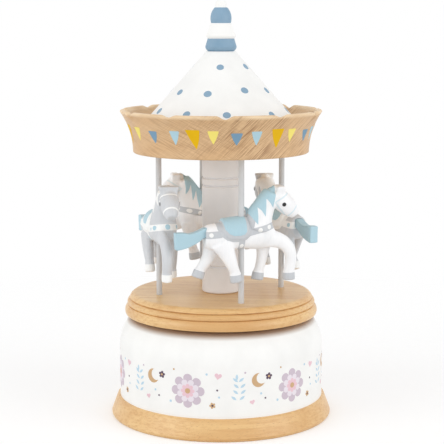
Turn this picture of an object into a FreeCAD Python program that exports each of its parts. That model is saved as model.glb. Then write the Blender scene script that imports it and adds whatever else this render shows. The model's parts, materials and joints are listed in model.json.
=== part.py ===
"""Wooden carousel music box: a turntable with four horses over a wound music movement."""
import FreeCAD, Part

import math
import os

import Sketcher
from FreeCAD import Placement, Rotation, Vector

# Driving dimensions in millimetres, and angles in degrees: name, value, meaning
SIZES = (
    # Wooden base
    ("plinth_radius", 55.0, "widest radius of the plinth"),
    ("plinth_foot_radius", 54.3, "radius of the face that the box stands on"),
    ("plinth_widest", 1.5, "height of the widest place of the plinth"),
    ("plinth_height", 10.1, "height of the plinth below the drum"),
    ("plinth_ledge", 1.5, "how far the plinth's upper edge stands out from the drum"),
    ("plinth_ledge_rise", 1.05, "height of the rounding of the plinth's upper edge"),
    ("plinth_bore", 42.0, "radius of the opening through the plinth"),
    ("spigot_height", 4.0, "height of the ring that centres the drum"),
    ("drum_radius", 50.7, "outer radius of the base drum"),
    ("drum_wall", 6.2, "wall of the base drum"),
    ("drum_height", 39.9, "height of the base drum"),
    ("drum_roof", 9.8, "thickness of the drum's top"),
    ("shoulder_width", 9.0, "width of the drum's rounded shoulder"),
    ("shoulder_height", 14.5, "height of the drum's rounded shoulder"),
    ("shoulder_top_round", 6.5, "radius of the upper part of the shoulder"),
    ("cover_radius", 46.6, "radius of the bottom cover"),
    ("cover_thickness", 3.2, "thickness of the bottom cover"),
    ("cover_inset", 0.8, "height of the bottom cover above the floor"),
    ("cover_screw_circle", 44.3, "radius of the circle of cover screws"),
    ("cover_screw_length", 7.0, "length of a cover screw"),
    ("cover_screw_turn", 30.0, "angle from the row axes to the first cover screw"),
    ("glue_gap", 0.03, "gap between glued or pressed pieces"),
    ("running_gap", 0.06, "gap round a turning shaft"),
    # Turntable
    ("platform_gap", 1.2, "space between the drum and the platform"),
    ("washer_thickness", 0.9, "thickness of the washer under the turntable"),
    ("washer_radius", 9.0, "outer radius of the washer"),
    ("platform_radius", 47.9, "widest radius of the platform"),
    ("platform_thickness", 10.3, "thickness of the platform"),
    ("platform_low_bead", 4.4, "height of the lower bead on the platform's edge"),
    ("platform_mid_bead", 2.4, "height of the middle bead on the platform's edge"),
    ("platform_low_bulge", 0.75, "how far the lower bead bulges"),
    ("platform_mid_bulge", 0.45, "how far the middle bead bulges"),
    ("platform_foot_inset", 0.35, "how far the underside lies inside the widest place"),
    ("platform_low_inset", 1.25, "how far the lower groove lies inside the widest place"),
    ("platform_mid_inset", 2.35, "how far the upper groove lies inside the widest place"),
    ("platform_top_inset", 5.4, "how far the flat top lies inside the widest place"),
    ("groove_depth", 0.8, "depth of a turned groove"),
    ("groove_half_width", 0.32, "half the width of a turned groove"),
    ("hub_flange_radius", 12.0, "radius of the turntable hub's flange"),
    ("hub_flange", 2.0, "thickness of the hub's flange"),
    ("hub_boss_radius", 5.0, "radius of the hub's boss"),
    ("hub_boss_height", 4.2, "height of the hub's boss"),
    ("hub_screw_circle", 8.6, "radius of the circle of hub screws"),
    ("hub_screw_length", 5.5, "length of a hub screw"),
    ("screw_radius", 1.0, "radius of a small screw"),
    ("screw_head_radius", 1.9, "radius of a small screw's head"),
    ("screw_head", 1.0, "height of a screw's head"),
    ("arbor_radius", 2.0, "radius of the winding arbor"),
    ("arbor_above", 5.6, "length of the arbor above the platform's underside"),
    # Column, poles and canopy
    ("column_radius", 9.4, "radius of the centre column"),
    ("column_edge_round", 1.0, "rounding of the column's lower edge"),
    ("column_spigot_radius", 6.0, "radius of the column's spigots"),
    ("column_spigot", 3.0, "length of the column's spigots"),
    ("column_low_groove", 13.5, "height of the lowest groove above the platform"),
    ("column_band", 53.4, "height of the band's lower groove above the platform"),
    ("column_band_height", 3.9, "height of the band between its two grooves"),
    ("stage_height", 70.0, "height from the platform to the canopy"),
    ("pole_radius", 1.4, "radius of a pole"),
    ("pole_circle", 31.9, "radius of the circle of poles"),
    ("pole_turn", 17.6, "angle from the row axes to the poles"),
    ("pole_socket", 4.0, "depth of the pole sockets"),
    ("ceiling_thickness", 6.5, "thickness of the canopy's ceiling"),
    ("rim_radius", 43.3, "outer radius of the rim's lower edge"),
    ("rim_wall", 3.4, "wall of the rim"),
    ("rim_flare", 6.3, "how far the rim flares out"),
    ("rim_height", 20.0, "height of the rim up to its rounded lip"),
    ("rim_lip", 2.8, "width of the rim's lip"),
    ("scallop_depth", 1.4, "depth of a scallop notch in the lip"),
    ("scallop_radius", 5.0, "radius of a scallop notch"),
    ("scallop_turn", 2.4, "angle from the front to the first notch"),
    ("roof_radius", 39.2, "radius of the roof's lower edge"),
    ("roof_skirt", 6.5, "height of the roof's straight lower part"),
    ("roof_rise", 36.1, "height of the roof's cone"),
    ("roof_top_radius", 7.2, "radius of the roof's top"),
    ("finial_peg_radius", 3.0, "radius of the finial's peg"),
    ("finial_peg", 7.0, "length of the finial's peg"),
    ("finial_low_foot", 6.1, "radius of the lower bead's foot"),
    ("finial_low_radius", 7.65, "widest radius of the finial's lower bead"),
    ("finial_low_belly", 2.3, "height of the lower bead's widest place"),
    ("finial_low_end", 6.5, "upper radius of the lower bead"),
    ("finial_low_height", 6.1, "height of the lower bead"),
    ("finial_mid_foot", 6.3, "radius of the middle bead's foot"),
    ("finial_mid_radius", 7.2, "widest radius of the finial's middle bead"),
    ("finial_mid_belly", 1.6, "height of the middle bead's widest place"),
    ("finial_mid_end", 4.9, "upper radius of the middle bead"),
    ("finial_mid_height", 7.5, "height of the middle bead"),
    ("finial_bud_foot", 4.8, "radius of the bud's foot"),
    ("finial_bud_radius", 5.15, "widest radius of the finial's bud"),
    ("finial_bud_belly", 2.3, "height of the bud's widest place"),
    ("finial_bud_end", 3.1, "upper radius of the bud"),
    ("finial_bud_height", 7.5, "height of the bud"),
    ("finial_tip_radius", 2.8, "radius of the finial's tip"),
    ("finial_tip_height", 4.3, "height of the finial's tip"),
    # Horse, measured forward from its pole and up from its lowest hoof
    ("horse_hang", 9.5, "height of the lowest hoof above the platform"),
    ("right_horse_twist", 9.0, "turn of the right horse on its pole, in degrees"),
    ("back_horse_bore", 4.2, "how far forward the back horse is drilled"),
    ("rump_reach", 18.4, "distance from the pole back to the rump"),
    ("chest_reach", 16.4, "distance from the pole forward to the chest"),
    ("barrel_level", 23.4, "height of the barrel's middle"),
    ("barrel_depth", 13.6, "depth of the barrel"),
    ("barrel_flatness", 0.86, "width of the barrel over its depth"),
    ("neck_base_reach", 8.0, "forward place of the neck's base"),
    ("neck_base_level", 26.0, "height of the neck's base"),
    ("neck_base_depth", 15.0, "depth of the neck's base"),
    ("neck_mid_reach", 11.0, "forward place of the neck's middle"),
    ("neck_mid_level", 36.0, "height of the neck's middle"),
    ("neck_mid_depth", 10.8, "depth of the neck's middle"),
    ("poll_reach", 15.6, "forward place of the poll"),
    ("poll_level", 43.0, "height of the poll"),
    ("poll_depth", 8.4, "depth of the neck at the poll"),
    ("neck_flatness", 0.9, "width of the neck over its depth"),
    ("cheek_reach", 20.4, "forward place of the cheek"),
    ("cheek_level", 39.2, "height of the cheek"),
    ("cheek_depth", 9.6, "depth of the head at the cheek"),
    ("muzzle_reach", 26.2, "forward place of the muzzle"),
    ("muzzle_level", 33.4, "height of the muzzle"),
    ("muzzle_depth", 6.3, "depth of the head at the muzzle"),
    ("head_flatness", 0.78, "width of the head over its depth"),
    ("crest_low_reach", 5.0, "forward place of the mane's lower end"),
    ("crest_low_level", 33.2, "height of the mane's lower end"),
    ("crest_mid_reach", 11.8, "forward place of the mane's middle"),
    ("crest_mid_level", 41.0, "height of the mane's middle"),
    ("crest_top_reach", 17.4, "forward place of the mane's top"),
    ("crest_top_level", 45.4, "height of the mane's top"),
    ("crest_depth", 4.6, "depth of the mane"),
    ("ears_back", 16.9, "forward place of the back of the ears"),
    ("ears_front", 21.0, "forward place of the front of the ears"),
    ("ears_low", 41.6, "height of the ears' root"),
    ("ears_level", 46.7, "height of the ears' tips"),
    ("ears_root", 5.6, "width of the ears' root"),
    ("ears_width", 8.0, "width from ear tip to ear tip"),
    ("saddle_back", 9.9, "distance from the pole back to the saddle's rear"),
    ("saddle_front", 2.6, "distance from the pole forward to the saddle's front"),
    ("saddle_level", 22.6, "height of the saddle's lower edge"),
    ("saddle_lift", 1.5, "height of the saddle's rear over the barrel"),
    ("saddle_slope", 1.2, "how much higher the saddle's front is than its rear"),
    ("saddle_proud", 0.5, "how far the saddle stands out at the sides"),
    ("saddle_round", 4.0, "rounding of the saddle flap's lower corners"),
    ("leg_spread", 3.7, "distance of a leg from the middle"),
    ("lead_spread", 2.5, "distance of the raised foreleg from the middle"),
    ("leg_flatness", 0.82, "width of a leg over its depth"),
    ("hip_flatness", 0.44, "width of a leg over its depth where it joins the barrel"),
    ("shoulder_depth", 9.6, "depth of a foreleg at the shoulder"),
    ("hip_depth", 11.4, "depth of a hind leg at the hip"),
    ("knee_depth", 6.5, "depth of a leg at the knee"),
    ("trail_knee_depth", 5.4, "depth of the other foreleg at the knee"),
    ("fetlock_depth", 4.9, "depth of a leg above the hoof"),
    ("lead_fetlock_depth", 5.7, "depth of the raised foreleg above the hoof"),
    ("hoof_depth", 6.2, "depth of a hoof"),
    ("fore_lead_hip_reach", 12.0, "raised foreleg, shoulder"),
    ("fore_lead_hip_level", 21.6, "raised foreleg, shoulder"),
    ("fore_lead_knee_reach", 22.8, "raised foreleg, knee"),
    ("fore_lead_knee_level", 16.8, "raised foreleg, knee"),
    ("fore_lead_fetlock_reach", 23.2, "raised foreleg, fetlock"),
    ("fore_lead_fetlock_level", 5.4, "raised foreleg, fetlock"),
    ("fore_lead_toe_reach", 23.3, "raised foreleg, hoof"),
    ("fore_lead_toe_level", 1.2, "raised foreleg, hoof"),
    ("fore_trail_hip_reach", 12.2, "other foreleg, shoulder"),
    ("fore_trail_hip_level", 21.0, "other foreleg, shoulder"),
    ("fore_trail_knee_reach", 11.7, "other foreleg, knee"),
    ("fore_trail_knee_level", 11.6, "other foreleg, knee"),
    ("fore_trail_fetlock_reach", 9.9, "other foreleg, fetlock"),
    ("fore_trail_fetlock_level", 4.9, "other foreleg, fetlock"),
    ("fore_trail_toe_reach", 9.3, "other foreleg, hoof"),
    ("fore_trail_toe_level", 0.9, "other foreleg, hoof"),
    ("hind_lead_hip_reach", -10.8, "forward hind leg, hip"),
    ("hind_lead_hip_level", 21.0, "forward hind leg, hip"),
    ("hind_lead_knee_reach", -6.6, "forward hind leg, knee"),
    ("hind_lead_knee_level", 12.0, "forward hind leg, knee"),
    ("hind_lead_fetlock_reach", -4.2, "forward hind leg, fetlock"),
    ("hind_lead_fetlock_level", 6.2, "forward hind leg, fetlock"),
    ("hind_lead_toe_reach", -3.6, "forward hind leg, hoof"),
    ("hind_lead_toe_level", 1.6, "forward hind leg, hoof"),
    ("hind_trail_hip_reach", -12.4, "other hind leg, hip"),
    ("hind_trail_hip_level", 21.0, "other hind leg, hip"),
    ("hind_trail_knee_reach", -15.6, "other hind leg, knee"),
    ("hind_trail_knee_level", 12.4, "other hind leg, knee"),
    ("hind_trail_fetlock_reach", -19.4, "other hind leg, fetlock"),
    ("hind_trail_fetlock_level", 7.4, "other hind leg, fetlock"),
    ("hind_trail_toe_reach", -20.8, "other hind leg, hoof"),
    ("hind_trail_toe_level", 3.4, "other hind leg, hoof"),
    ("tail_inset", 2.4, "how deep the tail's root sits in the rump"),
    ("tail_length", 14.6, "length of the tail outside the rump"),
    ("tail_root_low", 23.3, "lower edge of the tail's root"),
    ("tail_root_high", 27.9, "upper edge of the tail's root"),
    ("tail_end_low", 17.8, "lower corner of the tail's end"),
    ("tail_end_high", 26.0, "upper corner of the tail's end"),
    ("tail_thickness", 4.2, "thickness of the tail"),
    ("tail_neck", 0.6, "length of the tail's straight stretch outside the rump"),
    ("tail_rake", 0.4, "how far the lower corner of the tail's end draws in"),
    ("tail_dip", 0.5, "how far the tail's upper edge dips below the end's corner"),
    # Music movement
    ("bed_thickness", 2.0, "thickness of the bedplate"),
    ("bed_back", 20.0, "distance from the arbor to the bedplate's back edge"),
    ("bed_front", 37.6, "distance from the arbor to the bedplate's front edge"),
    ("bed_comb_side", 24.4, "distance from the arbor to the comb's edge"),
    ("bed_fan_side", 20.6, "distance from the arbor to the governor's edge"),
    ("bed_round", 8.0, "corner rounding of the bedplate"),
    ("bed_screw_grip", 4.9, "depth of a bedplate screw in the drum's top"),
    ("bed_screw_edge", 3.8, "distance of a bedplate screw from an edge"),
    ("bush_wall", 1.6, "wall of the arbor bush"),
    ("crown_module", 0.6, "tooth module of the great wheel"),
    ("crown_face", 1.8, "face width of the great wheel's teeth"),
    ("crown_disc", 1.8, "thickness of the great wheel's disc"),
    ("crown_gap", 0.8, "gap between the bedplate and the great wheel"),
    ("crown_collar", 4.0, "radius of the great wheel's collar"),
    ("pinion_width", 1.5, "face width of the cylinder pinion"),
    ("plate_thickness", 1.0, "thickness of the bearing plates"),
    ("plate_margin", 3.0, "distance from a bearing to the plate's edge"),
    ("side_gap", 0.6, "gap beside a turning wheel"),
    ("spindle_radius", 1.0, "radius of the cylinder's arbor"),
    ("cylinder_radius", 6.0, "radius of the pinned cylinder"),
    ("cylinder_length", 15.6, "length of the pinned cylinder"),
    ("pin_height", 0.5, "height of a pin"),
    ("pin_width", 0.36, "width of a pin"),
    ("train_module", 0.4, "tooth module of the governor's wheels"),
    ("train_width", 1.4, "face width of the governor's wheels"),
    ("worm_radius", 1.5, "pitch radius of the worm"),
    ("worm_height", 6.0, "length of the worm's thread"),
    ("worm_shaft_radius", 0.8, "radius of the worm's shaft"),
    ("fan_radius", 4.2, "reach of the governor's fan"),
    ("fan_height", 5.0, "height of the governor's fan"),
    ("fan_thickness", 0.5, "thickness of the fan's blades"),
    ("fan_hub_radius", 1.44, "radius of the fan's hub"),
    ("governor_drop", 16.0, "distance from the cylinder's axis down to the governor's foot"),
    ("comb_gap", 0.35, "gap between the pins and the comb's tips"),
    ("comb_thickness", 0.9, "thickness of the comb"),
    ("comb_slot", 0.24, "width of the slots in the comb"),
    ("comb_long_tooth", 9.6, "length of the comb's longest tooth"),
    ("comb_short_tooth", 6.4, "length of the comb's shortest tooth"),
    ("comb_depth", 17.0, "length of the comb from its tips to its back"),
    ("comb_seat", 6.6, "depth of the comb's seat"),
    ("comb_screw_grip", 4.0, "depth of a comb screw in the seat"),
    ("housing_radius", 12.8, "radius of the spring housing"),
    ("housing_wall", 0.8, "wall of the spring housing"),
    ("housing_height", 17.6, "height of the spring housing"),
    ("housing_gap", 1.2, "gap between the spring housing and the great wheel"),
    ("post_radius", 1.4, "radius of the bracket's posts"),
    ("post_gap", 0.8, "gap between the great wheel and a post"),
    ("spring_strip", 0.35, "thickness of the mainspring's strip"),
    ("spring_inner", 3.6, "radius of the mainspring's innermost turn"),
    ("spring_height", 13.0, "height of the mainspring"),
)

# Counts
POLES = 4
SCALLOPS = 11
SCREWS_ON_CIRCLE = 3
CROWN_TEETH = 48
PINION_TEETH = 24
TRAIN_WHEEL_TEETH = 48
TRAIN_PINION_TEETH = 12
WORM_WHEEL_TEETH = 20
COMB_TEETH = 18
PINS_PER_TOOTH = 3
SPRING_TURNS = 6

# Tooth form in shares of the module and of the tooth pitch
ADDENDUM = 0.8
DEDENDUM = 1.1
TIP_SHARE = 0.11
ROOT_SHARE = 0.27
WORM_ROOT_SHARE = 0.85

# Share of the barrel's length along the back, and of its depth there
BARREL_FORM = (
    (0.0, 0.66), (0.035, 0.83), (0.13, 0.93), (0.36, 0.97),
    (0.62, 0.96), (0.84, 1.0), (0.95, 0.76), (1.0, 0.4),
)

# Shares of a part's own width or length
LIP_ROUND = 0.54
NOSE_SHARE = 0.2
NOSE_END = 0.7
HEAD_START = 0.85
CREST_END = 0.8
TAIL_SWEEP = 1.6
TAIL_MIDDLE = 0.55
TOOTH_SINK = 0.1
COMB_SCREW_SHARES = (0.18, 0.5, 0.82)

# Directions of the spring bracket's posts, in degrees
POST_TURNS = (110, 180, 250)

UPRIGHT = Rotation()
ALONG_X = Rotation(Vector(0, 1, 0), 90)

doc = FreeCAD.newDocument("CarouselMusicBox")
pieces = {}


class Size:
    """A length that knows its value and the sheet expression that it comes from."""

    def __init__(self, value, text):
        self.value = float(value)
        self.text = text

    def joined(self, sign, other, value):
        return Size(value, f"({self.text} {sign} {as_size(other).text})")

    def __add__(self, other):
        return self.joined("+", other, self.value + as_size(other).value)

    def __sub__(self, other):
        return self.joined("-", other, self.value - as_size(other).value)

    def __mul__(self, other):
        return self.joined("*", other, self.value * as_size(other).value)

    def __truediv__(self, other):
        return self.joined("/", other, self.value / as_size(other).value)

    def __radd__(self, other):
        return as_size(other) + self

    def __rsub__(self, other):
        return as_size(other) - self

    def __rmul__(self, other):
        return as_size(other) * self

    def __neg__(self):
        return as_size(0) - self


def as_size(number):
    """A plain number as a size."""
    return number if isinstance(number, Size) else Size(number, repr(float(number)))


class Sheet:
    """The driving dimensions, read from the document's spreadsheet by name."""

    def __init__(self):
        self.cells = doc.addObject("Spreadsheet::Sheet", "Sizes")
        for row, (name, value, meaning) in enumerate(SIZES, 1):
            self.cells.set(f"A{row}", meaning)
            self.cells.set(f"B{row}", str(value))
            self.cells.setAlias(f"B{row}", name)
        doc.recompute()

    def __getattr__(self, name):
        return Size(self.cells.get(name), f"Sizes.{name}")


s = Sheet()


def bind(thing, name, size):
    """Tie one property of a document object to the sheet."""
    thing.setExpression(name, as_size(size).text)


def at(thing, x=0, y=0, z=0, turn=UPRIGHT):
    """Put an object at a place that follows the sheet."""
    thing.Placement = Placement(Vector(*(as_size(spot).value for spot in (x, y, z))), turn)
    for axis, spot in zip("xyz", (x, y, z)):
        if isinstance(spot, Size):
            bind(thing, f"Placement.Base.{axis}", spot)
    return thing


def polar(radius, degrees):
    """The x and y of a place on a circle about the vertical axis."""
    angle = as_size(degrees)
    turn = math.radians(angle.value)
    east = Size(radius.value * math.cos(turn), f"({radius.text} * cos({angle.text} * 1 deg))")
    north = Size(radius.value * math.sin(turn), f"({radius.text} * sin({angle.text} * 1 deg))")
    return east, north


def turned_to(degrees):
    """A turn about the vertical axis."""
    return Rotation(Vector(0, 0, 1), as_size(degrees).value)


def rod(name, radius, length, x=0, y=0, z=0, turn=UPRIGHT):
    made = doc.addObject("Part::Cylinder", name)
    bind(made, "Radius", radius)
    bind(made, "Height", length)
    return at(made, x, y, z, turn)


def block(name, length, width, height, x, y, z):
    made = doc.addObject("Part::Box", name)
    bind(made, "Length", length)
    bind(made, "Width", width)
    bind(made, "Height", height)
    return at(made, x, y, z)


def fuse(name, shapes):
    made = doc.addObject("Part::MultiFuse", name)
    made.Shapes = shapes
    return made


def cut(name, base, tools):
    made = doc.addObject("Part::Cut", name)
    made.Base = base
    made.Tool = tools[0] if len(tools) == 1 else fuse(name + "Tools", tools)
    return made


def group(name, things):
    """Several separate solids in one node."""
    made = doc.addObject("Part::Compound", name)
    made.Links = things
    return made


def feature(name, shape):
    made = doc.addObject("Part::Feature", name)
    made.Shape = shape
    return made


def piece(node, thing):
    """Name an object as one piece of the music box."""
    thing.Label = node
    pieces[node] = thing
    return thing


def left(radius):
    """An arc to the next corner with its centre on the left of the way."""
    return radius, 1


def right(radius):
    """An arc to the next corner with its centre on the right of the way."""
    return radius, -1


def tangent_radius(across, along):
    """Radius of an arc that starts square to across and moves over it within along."""
    return (across * across + along * along) / (2 * across)


def arc_edge(start, end, radius, side):
    """Arc of a circle from start to end, and its end numbers in the order of the way."""
    chord = end - start
    normal = Vector(-chord.y, chord.x, 0).normalize()
    reach = math.sqrt(max(radius ** 2 - (chord.Length / 2) ** 2, 0))
    centre = (start + end) * 0.5 + normal * (side * reach)
    angles = [math.atan2(spot.y - centre.y, spot.x - centre.x) for spot in (start, end)]
    first, last = angles if side > 0 else angles[::-1]
    if last < first:
        last += 2 * math.pi
    edge = Part.ArcOfCircle(Part.Circle(centre, Vector(0, 0, 1), radius), first, last)
    return edge, (1, 2) if side > 0 else (2, 1)


def draw(sketch, corners):
    """Closed outline through corners: x, y and, where the way to the next one is round, an arc."""
    spots = [Vector(as_size(corner[0]).value, as_size(corner[1]).value, 0) for corner in corners]
    edges = []
    for number, corner in enumerate(corners):
        start, end = spots[number], spots[(number + 1) % len(spots)]
        if len(corner) == 3:
            radius, side = corner[2]
            edge, ends = arc_edge(start, end, radius.value, side)
        else:
            edge, ends = Part.LineSegment(start, end), (1, 2)
        edges.append((sketch.addGeometry(edge, False), ends))
    for number, (edge, ends) in enumerate(edges):
        after, after_ends = edges[(number + 1) % len(edges)]
        sketch.addConstraint(Sketcher.Constraint("Coincident", edge, ends[1], after, after_ends[0]))
    for (edge, ends), corner, spot in zip(edges, corners, spots):
        for kind, size, value in (("DistanceX", corner[0], spot.x), ("DistanceY", corner[1], spot.y)):
            rule = sketch.addConstraint(Sketcher.Constraint(kind, -1, 1, edge, ends[0], value))
            if isinstance(size, Size):
                bind(sketch, f"Constraints[{rule}]", size)
        if len(corner) == 3:
            radius = corner[2][0]
            rule = sketch.addConstraint(Sketcher.Constraint("Radius", edge, radius.value))
            bind(sketch, f"Constraints[{rule}]", radius)


def sketched_body(name, plane, corners):
    """A body with one sketch on one of its origin planes."""
    body = doc.addObject("PartDesign::Body", name)
    sketch = body.newObject("Sketcher::SketchObject", name + "Outline")
    planes = {part.Role: part for part in body.Origin.OriginFeatures}
    sketch.AttachmentSupport = [(planes[plane], "")]
    sketch.MapMode = "FlatFace"
    draw(sketch, corners)
    return body, sketch


def turned(name, corners):
    """A lathe-turned piece: radius and height of each corner of its half section."""
    body, sketch = sketched_body(name, "XZ_Plane", corners)
    revolution = body.newObject("PartDesign::Revolution", name + "Turn")
    revolution.Profile = sketch
    revolution.ReferenceAxis = (sketch, ["V_Axis"])
    revolution.Angle = 360
    return body


def sawn(name, plane, corners, thickness, midplane=False):
    """A piece sawn from a board: its outline and its thickness."""
    body, sketch = sketched_body(name, plane, corners)
    pad = body.newObject("PartDesign::Pad", name + "Pad")
    pad.Profile = sketch
    pad.SideType = "Symmetric" if midplane else "One side"
    bind(pad, "Length", thickness)
    return body


def rounded(length, width, radius):
    """Corners of a rectangle with rounded ends."""
    return [
        (radius, 0), (length - radius, 0, left(radius)),
        (length, radius), (length, width - radius, left(radius)),
        (length - radius, width), (radius, width, left(radius)),
        (0, width - radius), (0, radius, left(radius)),
    ]


# Heights that several pieces share
drum_low = s.plinth_height
drum_top = drum_low + s.drum_height
drum_inside = s.drum_radius - s.drum_wall
roof_underside = drum_top - s.drum_roof
platform_low = drum_top + s.platform_gap
platform_top = platform_low + s.platform_thickness
canopy_low = platform_top + s.stage_height
ceiling_top = canopy_low + s.ceiling_thickness
roof_top = ceiling_top + s.roof_skirt + s.roof_rise
bush_radius = s.arbor_radius + s.running_gap + s.bush_wall
ledge = s.cover_inset + s.cover_thickness
tail_root = s.tail_inset - s.rump_reach

# Heights and places inside the movement
bed_low = roof_underside - s.bed_thickness
crown_radius = s.crown_module * (CROWN_TEETH / 2)
crown_outer = crown_radius + s.crown_face / 2
crown_top = bed_low - s.crown_gap
crown_root = crown_top - s.crown_disc
crown_pitch = crown_root - s.crown_module * DEDENDUM
crown_tip = crown_pitch - s.crown_module * ADDENDUM
pinion_radius = s.crown_module * (PINION_TEETH / 2)
axis_level = crown_pitch - pinion_radius
pinion_start = crown_radius - s.pinion_width / 2
inner_plate = crown_outer + s.side_gap
cylinder_start = inner_plate + s.plate_thickness + s.side_gap
cylinder_end = cylinder_start + s.cylinder_length
train_start = cylinder_end + s.side_gap
outer_plate = train_start + s.train_width + s.side_gap
spindle_end = outer_plate + s.plate_thickness + s.running_gap
wheel_radius = s.train_module * (TRAIN_WHEEL_TEETH / 2)
train_centre = wheel_radius + s.train_module * (TRAIN_PINION_TEETH / 2)
worm_wheel_radius = s.train_module * (WORM_WHEEL_TEETH / 2)
worm_across = train_centre + worm_wheel_radius + s.worm_radius
governor_plate = train_start - s.side_gap - s.fan_radius * 2 - s.plate_thickness
worm_place = governor_plate + s.plate_thickness + s.side_gap + s.fan_radius
foot_level = axis_level - s.governor_drop
pin_radius = s.cylinder_radius + s.pin_height
comb_start = pin_radius + s.comb_gap
housing_top = crown_tip - s.housing_gap
housing_low = housing_top - s.housing_height


def screw(name, x, y, z, length, upwards=True):
    """A screw whose head starts at z, with its shank up or down from there."""
    way = UPRIGHT if upwards else Rotation(Vector(1, 0, 0), 180)
    head = rod(name + "Head", s.screw_head_radius, s.screw_head, x, y, z, way)
    shank_start = z + s.screw_head if upwards else z - s.screw_head
    shank = rod(name + "Shank", s.screw_radius, length, x, y, shank_start, way)
    return fuse(name, [head, shank])


def screw_hole(name, x, y, z, length):
    """Room for a screw that is driven upwards with its head at z."""
    head = rod(name + "Head", s.screw_head_radius + s.glue_gap, s.screw_head, x, y, z)
    shank = rod(name + "Shank", s.screw_radius + s.glue_gap, length + s.screw_head, x, y, z)
    return fuse(name, [head, shank])


def circle_places(radius, count, start=0):
    """Places of like pieces round the vertical axis."""
    return [polar(radius, as_size(start) + 360 * number / count) for number in range(count)]


def make_base():
    """Plinth, drum and bottom cover."""
    foot_width = s.plinth_radius - s.plinth_foot_radius
    edge_round = tangent_radius(s.plinth_ledge_rise, s.plinth_ledge)
    spigot = drum_inside - s.glue_gap
    rebate = s.cover_radius + s.glue_gap
    plinth = turned("Plinth", [
        (rebate, 0),
        (s.plinth_foot_radius, 0, left(tangent_radius(foot_width, s.plinth_widest))),
        (s.plinth_radius, s.plinth_widest),
        (s.drum_radius + s.plinth_ledge, drum_low - s.plinth_ledge_rise, left(edge_round)),
        (s.drum_radius, drum_low),
        (spigot, drum_low),
        (spigot, drum_low + s.spigot_height),
        (s.plinth_bore, drum_low + s.spigot_height),
        (s.plinth_bore, ledge),
        (rebate, ledge),
    ])
    cover = turned("Cover", [
        (0, s.cover_inset), (s.cover_radius, s.cover_inset), (s.cover_radius, ledge), (0, ledge),
    ])
    spots = circle_places(s.cover_screw_circle, SCREWS_ON_CIRCLE, s.cover_screw_turn)
    holes = [
        screw_hole(f"CoverHole{number}", x, y, s.cover_inset, s.cover_screw_length)
        for number, (x, y) in enumerate(spots)
    ]
    screws = [
        screw(f"CoverScrew{number}", x, y, s.cover_inset, s.cover_screw_length)
        for number, (x, y) in enumerate(spots)
    ]
    piece("base_plinth", cut("PlinthDrilled", plinth, holes))
    piece("bottom_cover", cut("CoverDrilled", cover, holes))
    piece("cover_screws", group("CoverScrews", screws))

    width, height, small = s.shoulder_width, s.shoulder_height, s.shoulder_top_round
    rest = height - small
    large = (width * width + rest * rest - small * small) / (2 * (width - small))
    over = (large - width) / (large - small)
    rise = rest / (large - small)
    join_radius = s.drum_radius - width + small * over
    join_height = drum_top - small + small * rise
    drum = turned("Drum", [
        (drum_inside, drum_low),
        (s.drum_radius, drum_low),
        (s.drum_radius, drum_top - height, left(large)),
        (join_radius, join_height, left(small)),
        (s.drum_radius - width, drum_top),
        (bush_radius + s.glue_gap, drum_top),
        (bush_radius + s.glue_gap, roof_underside),
        (drum_inside, roof_underside),
    ])
    holes = [
        rod(f"DrumHole{number}", s.screw_radius + s.glue_gap, s.bed_screw_grip, x, y, roof_underside)
        for number, (x, y) in enumerate(movement_screw_places())
    ]
    piece("base_drum", cut("DrumDrilled", drum, holes))
    ring = rod("WasherDisc", s.washer_radius, s.washer_thickness, z=drum_top)
    bore = rod("WasherBore", bush_radius + s.glue_gap, s.washer_thickness, z=drum_top)
    piece("turntable_washer", cut("Washer", ring, [bore]))


def movement_screw_places():
    """Places of the screws that hold the bedplate under the drum's top."""
    clear = crown_outer + s.post_gap + s.screw_head_radius
    back = -s.bed_back + s.bed_screw_edge
    return [
        (back, clear),
        (back, -clear + s.screw_head_radius),
        (train_start - s.bed_screw_edge, comb_start + s.bed_screw_edge),
    ]


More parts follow.
